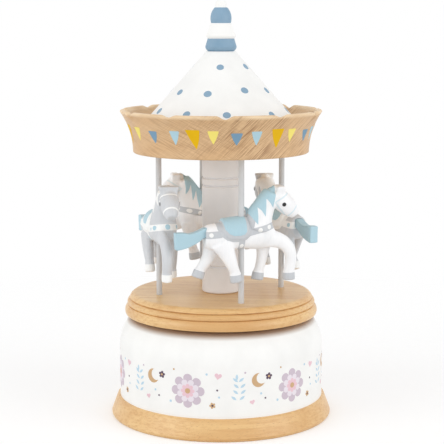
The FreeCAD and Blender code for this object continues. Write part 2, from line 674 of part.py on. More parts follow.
def make_turntable():
    """Platform, its hub, the winding arbor and the centre column."""
    radius, low, top = s.platform_radius, platform_low, platform_top
    low_waist, top_waist = radius - s.platform_low_inset, radius - s.platform_mid_inset
    flat_top = radius - s.platform_top_inset
    low_bead = low + s.platform_low_bead
    mid_start = low_bead + s.groove_half_width * 2
    mid_bead = mid_start + s.platform_mid_bead
    top_start = mid_bead + s.groove_half_width * 2
    bead = tangent_radius(s.platform_low_bulge, s.platform_low_bead / 2)
    small_bead = tangent_radius(s.platform_mid_bulge, s.platform_mid_bead / 2)
    top_round = tangent_radius(top - top_start, top_waist - flat_top)
    flange_hole = s.hub_flange_radius + s.glue_gap
    boss_hole = s.hub_boss_radius + s.glue_gap
    column_hole = s.column_spigot_radius + s.glue_gap
    column_seat = top - s.column_spigot
    board = turned("Platform", [
        (flange_hole, low),
        (radius - s.platform_foot_inset, low, left(bead)),
        (low_waist, low_bead),
        (low_waist - s.groove_depth, low_bead + s.groove_half_width),
        (low_waist, mid_start, left(small_bead)),
        (top_waist, mid_bead),
        (top_waist - s.groove_depth, mid_bead + s.groove_half_width),
        (top_waist, top_start, left(top_round)),
        (flat_top, top),
        (column_hole, top),
        (column_hole, column_seat),
        (boss_hole, column_seat),
        (boss_hole, low + s.hub_flange),
        (flange_hole, low + s.hub_flange),
    ])
    sockets = [
        rod(f"PlatformSocket{number}", s.pole_radius + s.glue_gap, s.pole_socket, x, y, top - s.pole_socket)
        for number, (x, y) in enumerate(pole_places())
    ]
    spots = circle_places(s.hub_screw_circle, SCREWS_ON_CIRCLE)
    holes = [
        screw_hole(f"HubHole{number}", x, y, low, s.hub_screw_length) for number, (x, y) in enumerate(spots)
    ]
    piece("platform", cut("PlatformDrilled", board, sockets + holes))
    boss_top = low + s.hub_flange + s.hub_boss_height
    hub_bore = s.arbor_radius + s.glue_gap
    hub = turned("Hub", [
        (hub_bore, low),
        (s.hub_flange_radius, low),
        (s.hub_flange_radius, low + s.hub_flange),
        (s.hub_boss_radius, low + s.hub_flange),
        (s.hub_boss_radius, boss_top),
        (hub_bore, boss_top),
    ])
    piece("turntable_hub", cut("HubDrilled", hub, holes))
    screws = [
        screw(f"HubScrew{number}", x, y, low, s.hub_screw_length) for number, (x, y) in enumerate(spots)
    ]
    piece("hub_screws", group("HubScrews", screws))
    arbor_low = housing_low - s.plate_thickness * 2
    piece("winding_arbor", rod("Arbor", s.arbor_radius, low + s.arbor_above - arbor_low, z=arbor_low))

    column, spigot = s.column_radius, s.column_spigot_radius
    corners = [(0, column_seat), (spigot, column_seat), (spigot, top)]
    corners += [(column - s.column_edge_round, top, left(s.column_edge_round))]
    corners += [(column, top + s.column_edge_round)]
    band_low = top + s.column_band
    for height in (top + s.column_low_groove, band_low, band_low + s.column_band_height):
        corners += [
            (column, height - s.groove_half_width * 2),
            (column - s.groove_depth, height),
            (column, height + s.groove_half_width * 2),
        ]
    corners += [(column, canopy_low), (spigot, canopy_low)]
    corners += [(spigot, canopy_low + s.column_spigot), (0, canopy_low + s.column_spigot)]
    piece("column", turned("Column", corners))


def pole_places():
    return circle_places(s.pole_circle, POLES, s.pole_turn - 90)


def make_canopy():
    """Poles, ceiling, scalloped rim, roof and finial."""
    names = ("pole_front", "pole_right", "pole_back", "pole_left")
    length = s.stage_height + s.pole_socket * 2
    for name, (x, y) in zip(names, pole_places()):
        piece(name, rod(name.title(), s.pole_radius, length, x, y, platform_top - s.pole_socket))
    hole = s.column_spigot_radius + s.glue_gap
    inner = s.rim_radius - s.rim_wall
    ceiling_radius = inner - s.glue_gap
    ceiling = turned("Ceiling", [
        (hole, canopy_low), (ceiling_radius, canopy_low), (ceiling_radius, ceiling_top), (hole, ceiling_top),
    ])
    sockets = [
        rod(f"CeilingSocket{number}", s.pole_radius + s.glue_gap, s.pole_socket, x, y, canopy_low)
        for number, (x, y) in enumerate(pole_places())
    ]
    piece("canopy_ceiling", cut("CeilingDrilled", ceiling, sockets))

    lip_level = canopy_low + s.rim_height
    lip_outer = s.rim_radius + s.rim_flare
    flare = tangent_radius(s.rim_flare, s.rim_height)
    lip_inner = lip_outer - s.rim_lip
    inner_flare = tangent_radius(lip_inner - inner, s.rim_height)
    lip_round = s.rim_lip * LIP_ROUND
    lip_rise = s.rim_lip * (LIP_ROUND - math.sqrt(LIP_ROUND ** 2 - 0.25))
    rim = turned("Rim", [
        (inner, canopy_low),
        (s.rim_radius, canopy_low, right(flare)),
        (lip_outer, lip_level, left(lip_round)),
        (lip_inner, lip_level, left(inner_flare)),
    ])
    notch_level = lip_level + lip_rise - s.scallop_depth + s.scallop_radius
    notch_length = s.rim_radius + s.rim_flare
    notches = []
    for number in range(SCALLOPS):
        degrees = s.scallop_turn - 90 + 360 * number / SCALLOPS
        x, y = polar(s.roof_radius, degrees)
        turn = turned_to(degrees) * ALONG_X
        notches.append(rod(f"Notch{number}", s.scallop_radius, notch_length, x, y, notch_level, turn))
    piece("canopy_rim", cut("RimScalloped", rim, notches))

    peg = s.finial_peg_radius
    skirt_top = ceiling_top + s.roof_skirt
    piece("roof_cone", turned("Roof", [
        (0, ceiling_top),
        (s.roof_radius, ceiling_top),
        (s.roof_radius, skirt_top),
        (s.roof_top_radius, roof_top),
        (peg + s.glue_gap, roof_top),
        (peg + s.glue_gap, roof_top - s.finial_peg),
        (0, roof_top - s.finial_peg),
    ]))
    low_top = roof_top + s.finial_low_height
    mid_top = low_top + s.finial_mid_height
    bud_top = mid_top + s.finial_bud_height
    tip_top = bud_top + s.finial_tip_height
    piece("finial", turned("Finial", [
        (0, roof_top - s.finial_peg),
        (peg, roof_top - s.finial_peg),
        (peg, roof_top),
        *finial_bead("low", roof_top),
        *finial_bead("mid", low_top),
        *finial_bead("bud", mid_top, domed=True),
        (s.finial_tip_radius, bud_top),
        (s.finial_tip_radius, tip_top - s.finial_tip_radius, left(s.finial_tip_radius)),
        (0, tip_top),
    ]))


def finial_bead(name, low, domed=False):
    """Half outline of one bead of the finial, from its foot over its belly to its end."""
    foot, radius, belly, end, height = (
        getattr(s, f"finial_{name}_{size}") for size in ("foot", "radius", "belly", "end", "height")
    )
    flank = [left(tangent_radius(radius - end, height - belly))] if domed else []
    return [
        (foot, low, left(tangent_radius(radius - foot, belly))),
        (radius, low + belly, *flank),
        (end, low + height),
    ]


def section(name, reach, across, level, lean, depth, flatness):
    """One oval section of a carved limb, square to the limb's way."""
    made = doc.addObject("Part::Ellipse", name)
    bind(made, "MajorRadius", depth / 2)
    bind(made, "MinorRadius", depth * flatness / 2)
    return at(made, reach, across, level, Rotation(Vector(0, 1, 0), lean))


def limb(name, stations, flatness, across=0, first_flatness=None):
    """A loft through oval sections: reach, level and depth of each."""
    ovals = []
    for number, (reach, level, depth) in enumerate(stations):
        share = first_flatness if first_flatness and number == 0 else flatness
        before = stations[max(number - 1, 0)]
        after = stations[min(number + 1, len(stations) - 1)]
        forward = as_size(after[0]).value - as_size(before[0]).value
        upward = as_size(after[1]).value - as_size(before[1]).value
        lean = math.degrees(math.atan2(forward, upward))
        ovals.append(section(f"{name}Oval{number}", reach, across, level, lean, depth, share))
    made = doc.addObject("Part::Loft", name)
    made.Sections = ovals
    made.Solid = True
    return made


def leg(name, prefix, depths, across):
    """A leg and its hoof, with its depths at the hip, the knee and the fetlock."""
    spots = {
        joint: (getattr(s, f"{prefix}_{joint}_reach"), getattr(s, f"{prefix}_{joint}_level"))
        for joint in ("hip", "knee", "fetlock", "toe")
    }
    stations = [(*spot, depth) for spot, depth in zip(spots.values(), depths)]
    shin = limb(name, stations, s.leg_flatness, across, s.hip_flatness)
    coronet = (depths[-1] + s.hoof_depth) / 2
    ends = [(*spots["fetlock"], coronet), (*spots["toe"], s.hoof_depth)]
    return [shin, limb(name + "Hoof", ends, s.leg_flatness, across)]


def carved_horse():
    """The carving of a horse, headed along +X, before its pole and tail are fitted."""
    length = s.rump_reach + s.chest_reach
    level = s.barrel_level
    barrel = limb("Barrel", [
        (length * share - s.rump_reach, level, s.barrel_depth * depth) for share, depth in BARREL_FORM
    ], s.barrel_flatness)
    neck = limb("Neck", [
        (s.neck_base_reach, s.neck_base_level, s.neck_base_depth),
        (s.neck_mid_reach, s.neck_mid_level, s.neck_mid_depth),
        (s.poll_reach, s.poll_level, s.poll_depth),
    ], s.neck_flatness)
    nose_reach = s.muzzle_reach + (s.muzzle_reach - s.cheek_reach) * NOSE_SHARE
    nose_level = s.muzzle_level + (s.muzzle_level - s.cheek_level) * NOSE_SHARE
    head = limb("Head", [
        (s.poll_reach, s.poll_level, s.poll_depth * HEAD_START),
        (s.cheek_reach, s.cheek_level, s.cheek_depth),
        (s.muzzle_reach, s.muzzle_level, s.muzzle_depth),
        (nose_reach, nose_level, s.muzzle_depth * NOSE_END),
    ], s.head_flatness)
    crest = limb("Crest", [
        (s.crest_low_reach, s.crest_low_level, s.crest_depth),
        (s.crest_mid_reach, s.crest_mid_level, s.crest_depth),
        (s.crest_top_reach, s.crest_top_level, s.crest_depth * CREST_END),
    ], s.head_flatness)
    ears = sawn("Ears", "YZ_Plane", [
        (-s.ears_root / 2, s.ears_low),
        (s.ears_root / 2, s.ears_low),
        (s.ears_width / 2, s.ears_level),
        (-s.ears_width / 2, s.ears_level),
    ], s.ears_front - s.ears_back)
    at(ears, s.ears_back, 0, 0)
    lead_depths = (s.shoulder_depth, s.knee_depth, s.lead_fetlock_depth)
    trail_depths = (s.shoulder_depth, s.trail_knee_depth, s.fetlock_depth)
    hind_depths = (s.hip_depth, s.knee_depth, s.fetlock_depth)
    legs = leg("ForeLead", "fore_lead", lead_depths, -s.lead_spread)
    legs += leg("ForeTrail", "fore_trail", trail_depths, s.leg_spread)
    legs += leg("HindLead", "hind_lead", hind_depths, -s.leg_spread)
    legs += leg("HindTrail", "hind_trail", hind_depths, s.leg_spread)
    return fuse("HorseBody", [barrel, neck, head, crest, ears, *legs, saddle()])


def saddle():
    """The raised saddle: a slightly larger barrel, kept only within the flap's outline."""
    wide = s.barrel_depth * s.barrel_flatness + s.saddle_proud * 2
    tall = s.barrel_depth + s.saddle_lift * 2
    shell = limb("SaddleShell", [
        (-s.saddle_back, s.barrel_level, tall),
        (s.saddle_front, s.barrel_level + s.saddle_slope, tall),
    ], wide / tall)
    height = s.barrel_level + s.barrel_depth - s.saddle_level
    flap = sawn("SaddleFlap", "XZ_Plane", [
        (s.saddle_round, 0),
        (s.saddle_back + s.saddle_front - s.saddle_round, 0, left(s.saddle_round)),
        (s.saddle_back + s.saddle_front, s.saddle_round),
        (s.saddle_back + s.saddle_front, height),
        (0, height),
        (0, s.saddle_round, left(s.saddle_round)),
    ], s.barrel_depth * 2, midplane=True)
    at(flap, -s.saddle_back, 0, s.saddle_level)
    made = doc.addObject("Part::Common", "Saddle")
    made.Base = shell
    made.Tool = flap
    return made


def sawn_tail():
    """One flat tail along +X from the end of its root."""
    low, high = s.tail_root_low, s.tail_root_high
    neck = s.tail_inset + s.tail_neck
    end = s.tail_inset + s.tail_length
    middle = s.tail_inset + s.tail_length * TAIL_MIDDLE
    return sawn("Tail", "XZ_Plane", [
        (0, low),
        (neck, low, left(s.tail_length * TAIL_SWEEP)),
        (end - s.tail_rake, s.tail_end_low),
        (end, s.tail_end_high, left(s.tail_length)),
        (middle, s.tail_end_high - s.tail_dip, right(s.tail_length)),
        (neck, high),
        (0, high),
    ], s.tail_thickness, midplane=True)


def tail_socket():
    """Room in the rump for the root of the tail."""
    half = s.tail_thickness / 2 + s.glue_gap
    height = s.tail_root_high - s.tail_root_low + s.glue_gap * 2
    low = s.tail_root_low - s.glue_gap
    return block("TailSocket", s.rump_reach, half * 2, height, tail_root - s.rump_reach, -half, low)


def make_horses():
    """Four horses and tails of one carving, each drilled for its pole and glued at its own angle."""
    carving = carved_horse()
    tail = sawn_tail()
    socket = tail_socket()
    none = as_size(0)
    bores = {"back": s.back_horse_bore}
    twists = {"right": s.right_horse_twist}
    level = platform_top + s.horse_hang
    for number, (name, (x, y)) in enumerate(zip(("front", "right", "back", "left"), pole_places())):
        reach = bores.get(name, none)
        heading = s.pole_turn + 360 * number / POLES + twists.get(name, none)
        forward_x, forward_y = polar(reach, heading)
        horse_x, horse_y = x - forward_x, y - forward_y
        bore = rod(f"HorseBore{number}", s.pole_radius + s.glue_gap, s.stage_height, reach)
        horse = cut(f"Horse{number}", carving, [bore, socket])
        piece(f"horse_{name}", at(horse, horse_x, horse_y, level, turned_to(heading)))
        root_x, root_y = polar(tail_root, heading)
        copy = doc.addObject("App::Link", f"Tail{number}")
        copy.LinkedObject = tail
        piece(f"tail_{name}", at(copy, horse_x + root_x, horse_y + root_y, level, turned_to(heading + 180)))


def wheel_face(teeth, module, start):
    """Toothed face square to +X about the X axis, with one tooth centred at start degrees from +Y."""
    radius = module * teeth / 2
    tip, root = radius + module * ADDENDUM, radius - module * DEDENDUM
    pitch = 2 * math.pi / teeth
    spots = []
    for number in range(teeth):
        middle = math.radians(start) + number * pitch
        for share, reach in ((-ROOT_SHARE, root), (-TIP_SHARE, tip), (TIP_SHARE, tip), (ROOT_SHARE, root)):
            angle = middle + share * pitch
            spots.append(Vector(0, reach * math.cos(angle), reach * math.sin(angle)))
    return Part.Face(Part.makePolygon(spots + spots[:1]))


def wheel(name, teeth, module, start, width, place, bore):
    """A spur wheel along +X from place, with a bore for its arbor."""
    blank = wheel_face(teeth, module.value, start).extrude(Vector(width.value, 0, 0))
    blank.translate(Vector(*(as_size(spot).value for spot in place)))
    return cut(name, feature(name + "Blank", blank), [rod(name + "Bore", bore, width, *place, ALONG_X)])


def make_great_wheel():
    """Crown wheel on the winding arbor, teeth facing down."""
    disc = rod("CrownDisc", crown_outer, s.crown_disc, z=crown_root)
    pitch = math.pi * s.crown_module.value
    depth = (crown_root - crown_tip).value
    inner = (crown_radius - s.crown_face / 2).value
    sink = depth * TOOTH_SINK
    half = [(ROOT_SHARE, sink), (ROOT_SHARE, 0), (TIP_SHARE, -depth)]
    outline = [(-share, rise) for share, rise in half] + half[::-1]
    spots = [Vector(inner, share * pitch, crown_root.value + rise) for share, rise in outline]
    tooth = Part.Face(Part.makePolygon(spots + spots[:1])).extrude(Vector(s.crown_face.value, 0, 0))
    teeth = []
    for number in range(CROWN_TEETH):
        copy = tooth.copy()
        copy.rotate(Vector(), Vector(0, 0, 1), 360 * number / CROWN_TEETH)
        teeth.append(copy)
    ring = feature("CrownTeeth", Part.makeCompound(teeth))
    collar_low = housing_top + s.side_gap
    collar = rod("CrownCollar", s.crown_collar, crown_root - collar_low, z=collar_low)
    bore = rod("CrownBore", s.arbor_radius + s.glue_gap, bed_low - housing_top, z=housing_top)
    piece("great_wheel", cut("Crown", fuse("CrownBlank", [disc, ring, collar]), [bore]))


def make_bedplate():
    """Bedplate, its screws and the arbor's bush."""
    length = s.bed_back + s.bed_front
    width = s.bed_comb_side + s.bed_fan_side
    plate = sawn("Bedplate", "XY_Plane", rounded(length, width, s.bed_round), s.bed_thickness)
    at(plate, -s.bed_back, -s.bed_fan_side, bed_low)
    holes = [rod("BushHole", bush_radius + s.glue_gap, s.bed_thickness, z=bed_low)]
    screws = []
    for number, (x, y) in enumerate(movement_screw_places()):
        holes.append(rod(f"BedHole{number}", s.screw_radius + s.glue_gap, s.bed_thickness, x, y, bed_low))
        shank = s.bed_thickness + s.bed_screw_grip
        screws.append(screw(f"BedScrew{number}", x, y, bed_low - s.screw_head, shank))
    pivot = s.worm_shaft_radius + s.running_gap
    holes.append(rod("WormHole", pivot, s.bed_thickness, worm_place, -worm_across, bed_low))
    piece("movement_bedplate", cut("BedplateDrilled", plate, holes))
    piece("movement_screws", group("BedScrews", screws))
    bush = rod("BushBody", bush_radius, drum_top - bed_low, z=bed_low)
    bore = rod("BushBore", s.arbor_radius + s.running_gap, drum_top - bed_low, z=bed_low)
    piece("arbor_bush", cut("Bush", bush, [bore]))


def make_spring():
    """Spring bracket with its posts, spring housing and mainspring."""
    plate_low = housing_low - s.plate_thickness
    reach = crown_outer + s.post_gap + s.post_radius
    parts = [rod("SpringPlate", s.housing_radius, s.plate_thickness, z=plate_low)]
    for number, degrees in enumerate(POST_TURNS):
        x, y = polar(reach, degrees)
        parts.append(rod(f"Post{number}", s.post_radius, bed_low - plate_low, x, y, plate_low))
        arm = block(f"Arm{number}", reach, s.post_radius * 2, s.plate_thickness, 0, 0, 0)
        side_x, side_y = polar(s.post_radius, degrees - 90)
        parts.append(at(arm, side_x, side_y, plate_low, turned_to(degrees)))
    bore = rod("SpringPlateBore", s.arbor_radius + s.running_gap, s.plate_thickness, z=plate_low)
    piece("spring_bracket", cut("SpringBracket", fuse("SpringBracketBlank", parts), [bore]))
    hole = s.arbor_radius + s.side_gap
    inner = s.housing_radius - s.housing_wall
    roof = housing_top - s.housing_wall
    piece("spring_housing", turned("Housing", [
        (inner, housing_low), (s.housing_radius, housing_low), (s.housing_radius, housing_top),
        (hole, housing_top), (hole, roof), (inner, roof),
    ]))
    piece("mainspring", feature("Mainspring", mainspring_shape(inner)))


def mainspring_shape(inner):
    """A flat spiral of half circles, each wider than the one before."""
    outermost = inner.value - s.spring_strip.value / 2 - s.glue_gap.value
    halves = SPRING_TURNS * 2
    step = (outermost - s.spring_inner.value) / halves
    turns = {1: [], -1: []}
    for number in range(halves + 1):
        radius = s.spring_inner.value + number * step - step / 2
        centre = Vector(step / 2 if number % 2 else -step / 2, 0, 0)
        start = Vector(1 if number % 2 == 0 else -1, 0, 0)
        side = Vector(0, 1 if number % 2 == 0 else -1, 0)
        for offset in turns:
            reach = radius + offset * s.spring_strip.value / 2
            spots = (centre + start * reach, centre + side * reach, centre - start * reach)
            turns[offset].append((spots, Part.Arc(*spots).toShape()))
    first = [turn[0][0][0] for turn in turns.values()]
    last = [turn[-1][0][2] for turn in turns.values()]
    edges = [edge for turn in turns.values() for spots, edge in turn]
    edges += [Part.makeLine(*first), Part.makeLine(*last)]
    face = Part.Face(Part.Wire(Part.__sortEdges__(edges)))
    print(f"mainspring: least gap {2 * step - s.spring_strip.value:.2f} mm")
    shape = face.extrude(Vector(0, 0, s.spring_height.value))
    shape.translate(Vector(0, 0, housing_low.value + s.plate_thickness.value))
    return shape


def bearing_plate(name, x, low_y, high_y, low_z, holes):
    """An upright plate under the bedplate with bearing holes at y and z."""
    plate = block(name + "Blank", s.plate_thickness, high_y - low_y, bed_low - low_z, x, low_y, low_z)
    bores = [
        rod(f"{name}Hole{number}", s.spindle_radius + s.running_gap, s.plate_thickness, x, y, z, ALONG_X)
        for number, (y, z) in enumerate(holes)
    ]
    return cut(name, plate, bores)


def make_cylinder():
    """Pinned cylinder with its arbor, pinion, wheel and bearing plates."""
    half = s.plate_margin
    low = axis_level - half
    bearings = [(0, axis_level)]
    piece("cylinder_inner_plate", bearing_plate("InnerPlate", inner_plate, -half, half, low, bearings))
    bearings += [(-train_centre, axis_level)]
    piece("train_plate", bearing_plate("TrainPlate", outer_plate, -train_centre - half, half, low, bearings))
    length = spindle_end - pinion_start
    piece("cylinder_arbor", rod("Spindle", s.spindle_radius, length, pinion_start, 0, axis_level, ALONG_X))
    bore = s.spindle_radius + s.glue_gap
    drum = rod("CylinderDrum", s.cylinder_radius, s.cylinder_length, cylinder_start, 0, axis_level, ALONG_X)
    hollow = rod("CylinderBore", bore, s.cylinder_length, cylinder_start, 0, axis_level, ALONG_X)
    pins = feature("Pins", Part.makeCompound(cylinder_pins()))
    piece("pin_cylinder", cut("Cylinder", fuse("CylinderPinned", [drum, pins]), [hollow]))
    half_tooth = 180 / PINION_TEETH
    piece("cylinder_pinion", wheel(
        "Pinion", PINION_TEETH, s.crown_module, 90 + half_tooth, s.pinion_width,
        (pinion_start, 0, axis_level), bore))
    piece("cylinder_wheel", wheel(
        "TrainWheel", TRAIN_WHEEL_TEETH, s.train_module, 180, s.train_width,
        (train_start, 0, axis_level), bore))


def comb_pitch():
    return s.cylinder_length / (COMB_TEETH + 1)


def cylinder_pins():
    """Pins in one row for each tooth of the comb, spread round by steps of a golden angle."""
    golden = 180 * (3 - math.sqrt(5))
    pins = []
    wide = s.pin_width.value
    for row in range(COMB_TEETH):
        x = cylinder_start.value + comb_pitch().value * (row + 1)
        for number in range(PINS_PER_TOOTH):
            pin = Part.makeBox(wide, wide, s.pin_height.value * 2)
            pin.translate(Vector(x - wide / 2, -wide / 2, (s.cylinder_radius - s.pin_height).value))
            pin.rotate(Vector(), Vector(1, 0, 0), golden * (row * PINS_PER_TOOTH + number))
            pin.translate(Vector(0, 0, axis_level.value))
            pins.append(pin)
    return pins


def make_comb():
    """Steel comb with graded teeth, its seat and its screws."""
    low = axis_level - s.comb_thickness / 2
    top = axis_level + s.comb_thickness / 2
    width = s.cylinder_length
    plate = block("CombBlank", width, s.comb_depth, s.comb_thickness, cylinder_start, comb_start, low)
    slots = []
    for number in range(1, COMB_TEETH):
        share = number / COMB_TEETH
        length = s.comb_long_tooth - (s.comb_long_tooth - s.comb_short_tooth) * share
        x = cylinder_start + comb_pitch() * (number + 0.5) - s.comb_slot / 2
        slots.append(block(f"CombSlot{number}", s.comb_slot, length, s.comb_thickness, x, comb_start, low))
    seat_start = comb_start + s.comb_depth - s.comb_seat
    seat = block("CombSeatBlank", width, s.comb_seat, bed_low - top, cylinder_start, seat_start, top)
    holes, screws = [], []
    middle = seat_start + s.comb_seat / 2
    deep = s.comb_thickness + s.comb_screw_grip
    for number, share in enumerate(COMB_SCREW_SHARES):
        x = cylinder_start + width * share
        holes.append(rod(f"CombHole{number}", s.screw_radius + s.glue_gap, deep, x, middle, low))
        screws.append(screw(f"CombScrew{number}", x, middle, low - s.screw_head, deep))
    piece("comb", cut("Comb", plate, slots + holes))
    piece("comb_seat", cut("CombSeat", seat, holes))
    piece("comb_screws", group("CombScrews", screws))


def make_governor():
    """Governor wheel on its arbor, worm shaft with fan, and the bracket that carries them."""
    half = s.plate_margin
    y = -train_centre
    start = governor_plate
    long_arbor = rod("GovernorArbor", s.spindle_radius, spindle_end - start, start, y, axis_level, ALONG_X)
    piece("governor_arbor", long_arbor)
    bore = s.spindle_radius + s.glue_gap
    half_tooth = 180 / TRAIN_PINION_TEETH
    piece("governor_pinion", wheel(
        "GovernorPinion", TRAIN_PINION_TEETH, s.train_module, half_tooth, s.train_width,
        (train_start, y, axis_level), bore))
    piece("worm_wheel", wheel(
        "WormWheel", WORM_WHEEL_TEETH, s.train_module, 180, s.train_width,
        (worm_place - s.train_width / 2, y, axis_level), bore))
    plate = block(
        "GovernorPlate", s.plate_thickness, worm_across - train_centre + half * 2, bed_low - foot_level,
        start, -worm_across - half, foot_level)
    foot = block(
        "GovernorFoot", worm_place - start + half, half * 2, s.plate_thickness,
        start, -worm_across - half, foot_level)
    thick, gap = s.plate_thickness, s.running_gap
    holes = [
        rod("GovernorHole", s.spindle_radius + gap, thick, start, y, axis_level, ALONG_X),
        rod("WormFootHole", s.worm_shaft_radius + gap, thick, worm_place, -worm_across, foot_level),
    ]
    piece("governor_bracket", cut("GovernorBracket", fuse("GovernorBlank", [plate, foot]), holes))
    piece("worm_shaft", worm())
    fan_low = foot_level + s.plate_thickness + s.side_gap
    hub = rod("FanHub", s.fan_hub_radius, s.fan_height, worm_place, -worm_across, fan_low)
    blade = block(
        "FanBlade", s.fan_radius * 2, s.fan_thickness, s.fan_height,
        worm_place - s.fan_radius, -worm_across - s.fan_thickness / 2, fan_low)
    hole = rod("FanBore", s.worm_shaft_radius + s.glue_gap, s.fan_height, worm_place, -worm_across, fan_low)
    piece("governor_fan", cut("Fan", fuse("FanBlank", [hub, blade]), [hole]))


def worm():
    """Worm shaft: one right-hand thread whose gap faces the wheel's middle tooth at rest."""
    length = roof_underside - foot_level - s.running_gap
    shaft = rod("WormShaft", s.worm_shaft_radius, length, z=foot_level - axis_level)
    lead = math.pi * s.train_module.value
    low = -s.worm_height.value / 2
    core = s.worm_shaft_radius.value * WORM_ROOT_SHARE
    crest = (s.worm_radius + s.train_module * ADDENDUM).value
    outline = ((core, -ROOT_SHARE), (crest, -TIP_SHARE), (crest, TIP_SHARE), (core, ROOT_SHARE))
    spots = [Vector(reach, 0, low + share * lead) for reach, share in outline]
    helix = Part.makeHelix(lead, s.worm_height.value, s.worm_shaft_radius.value)
    helix.translate(Vector(0, 0, low))
    solid, frenet = True, True
    thread = Part.Wire(helix).makePipeShell([Part.makePolygon(spots + spots[:1])], solid, frenet)
    made = fuse("Worm", [shaft, feature("WormThread", thread)])
    # The thread passes the wheel's side half a lead above the wheel's axis
    turns = 0.5 - low / lead
    return at(made, worm_place, -worm_across, axis_level, turned_to(90 - 360 * turns))


make_base()
make_turntable()
make_canopy()
make_horses()
make_great_wheel()
make_bedplate()
make_spring()
make_cylinder()
make_comb()
make_governor()
doc.recompute()

for thing in doc.Objects:
    if {"Invalid", "Error"} & set(thing.State):
        raise RuntimeError(f"{thing.Name} failed: {thing.State}")
solids = {node: Part.getShape(thing) for node, thing in pieces.items()}
for node, shape in solids.items():
    if shape.isNull() or not shape.isValid():
        raise RuntimeError(f"{node} has no valid shape")
os.makedirs("parts", exist_ok=True)
for node, shape in solids.items():
    shape.exportStep(f"parts/{node}.step")
print(f"{len(solids)} nodes, {sum(len(shape.Solids) for shape in solids.values())} solids")
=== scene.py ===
import json
import math
import random
from collections import namedtuple
from functools import partial

import bmesh
import bpy
import numpy as np
from bpy.props import FloatProperty, FloatVectorProperty, IntProperty, PointerProperty
from mathutils import Matrix, Vector

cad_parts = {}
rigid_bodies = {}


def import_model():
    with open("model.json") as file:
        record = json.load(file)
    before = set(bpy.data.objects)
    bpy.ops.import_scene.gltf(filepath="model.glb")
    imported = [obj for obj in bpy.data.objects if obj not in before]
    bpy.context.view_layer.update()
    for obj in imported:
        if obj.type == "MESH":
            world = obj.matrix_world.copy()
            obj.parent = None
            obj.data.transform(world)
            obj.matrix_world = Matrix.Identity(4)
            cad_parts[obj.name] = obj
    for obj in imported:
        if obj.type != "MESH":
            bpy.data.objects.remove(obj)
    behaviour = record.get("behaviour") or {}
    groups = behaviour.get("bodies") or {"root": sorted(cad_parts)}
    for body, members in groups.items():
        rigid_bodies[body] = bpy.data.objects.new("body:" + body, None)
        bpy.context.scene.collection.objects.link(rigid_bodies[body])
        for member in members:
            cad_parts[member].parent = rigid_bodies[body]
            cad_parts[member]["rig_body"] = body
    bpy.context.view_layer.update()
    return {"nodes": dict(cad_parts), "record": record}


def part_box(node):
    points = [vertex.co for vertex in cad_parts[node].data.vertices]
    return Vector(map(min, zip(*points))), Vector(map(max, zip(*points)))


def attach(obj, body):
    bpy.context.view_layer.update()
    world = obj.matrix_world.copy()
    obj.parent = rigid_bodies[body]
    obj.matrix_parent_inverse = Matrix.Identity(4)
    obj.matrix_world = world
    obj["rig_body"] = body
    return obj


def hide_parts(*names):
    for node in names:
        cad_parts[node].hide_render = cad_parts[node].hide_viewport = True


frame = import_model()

bl_info = {
    "name": "Carousel music box",
    "version": (1, 0, 0),
    "blender": (4, 5, 0),
    "location": "View3D > Sidebar > Carousel",
    "description": "Turned, carved and painted finishes of a wooden carousel music box",
    "category": "Object",
}

MM = 0.001
# Corners nearer than this are one
WELD = 0.002 * MM
SIDES = ("front", "right", "back", "left")


def paint(red, green, blue):
    """A colour as mixed on a screen, from 0 to 255, as linear light."""
    shares = [value / 255 for value in (red, green, blue)]
    return tuple(v / 12.92 if v <= 0.04045 else ((v + 0.055) / 1.055) ** 2.4 for v in shares) + (1.0,)


def colour(title, red, green, blue):
    return FloatVectorProperty(
        name=title, description=f"Colour of the {title.lower()}", subtype="COLOR", size=4, min=0, max=1,
        default=paint(red, green, blue))


def length(title, millimetres, meaning):
    return FloatProperty(
        name=title, description=meaning, default=millimetres * MM, unit="LENGTH", precision=5)


def whole(title, number, meaning, least=1):
    return IntProperty(name=title, description=meaning, default=number, min=least)


def amount(title, value, meaning):
    return FloatProperty(name=title, description=meaning, default=value, min=0)


class CarouselPaints(bpy.types.PropertyGroup):
    """Colours of the wood and the paints."""

    beech: colour("Beech", 235, 196, 136)
    beech_dark: colour("Beech lines", 208, 156, 95)
    beech_fleck: colour("Beech flecks", 150, 100, 62)
    rim_beech: colour("Rim beech", 220, 184, 140)
    rim_line: colour("Rim lines", 146, 104, 68)
    # Painted highlight along the rim's lip
    rim_lip: colour("Rim lip", 243, 216, 178)
    white: colour("White paint", 248, 248, 246)
    horse_white: colour("White horse paint", 250, 250, 251)
    pale_grey: colour("Column paint", 239, 238, 239)
    pole_grey: colour("Pole paint", 208, 209, 210)
    harness_grey: colour("Harness grey", 199, 202, 206)
    horse_grey: colour("Grey horse paint", 211, 213, 216)
    light_blue: colour("Light blue paint", 178, 210, 222)
    steel_blue: colour("Steel blue paint", 138, 169, 193)
    bridle_blue: colour("Bridle paint", 224, 237, 242)
    pennant_blue: colour("Pennant blue", 123, 157, 182)
    yellow: colour("Pale yellow paint", 245, 228, 122)
    orange: colour("Warm yellow paint", 230, 183, 18)
    # Painted shade: the brown that darkens the drum's shoulder under the platform
    rubbed: colour("Painted shade under the platform", 156, 122, 92)
    black: colour("Eye paint", 32, 30, 32)
    aubergine: colour("Aubergine ink", 86, 66, 88)
    gold: colour("Tan ink", 208, 172, 130)
    pink: colour("Pink ink", 236, 200, 210)
    lilac: colour("Lilac ink", 208, 194, 206)
    pale_lilac: colour("Pale lilac ink", 236, 228, 236)
    pale_blue: colour("Pale blue ink", 190, 218, 234)


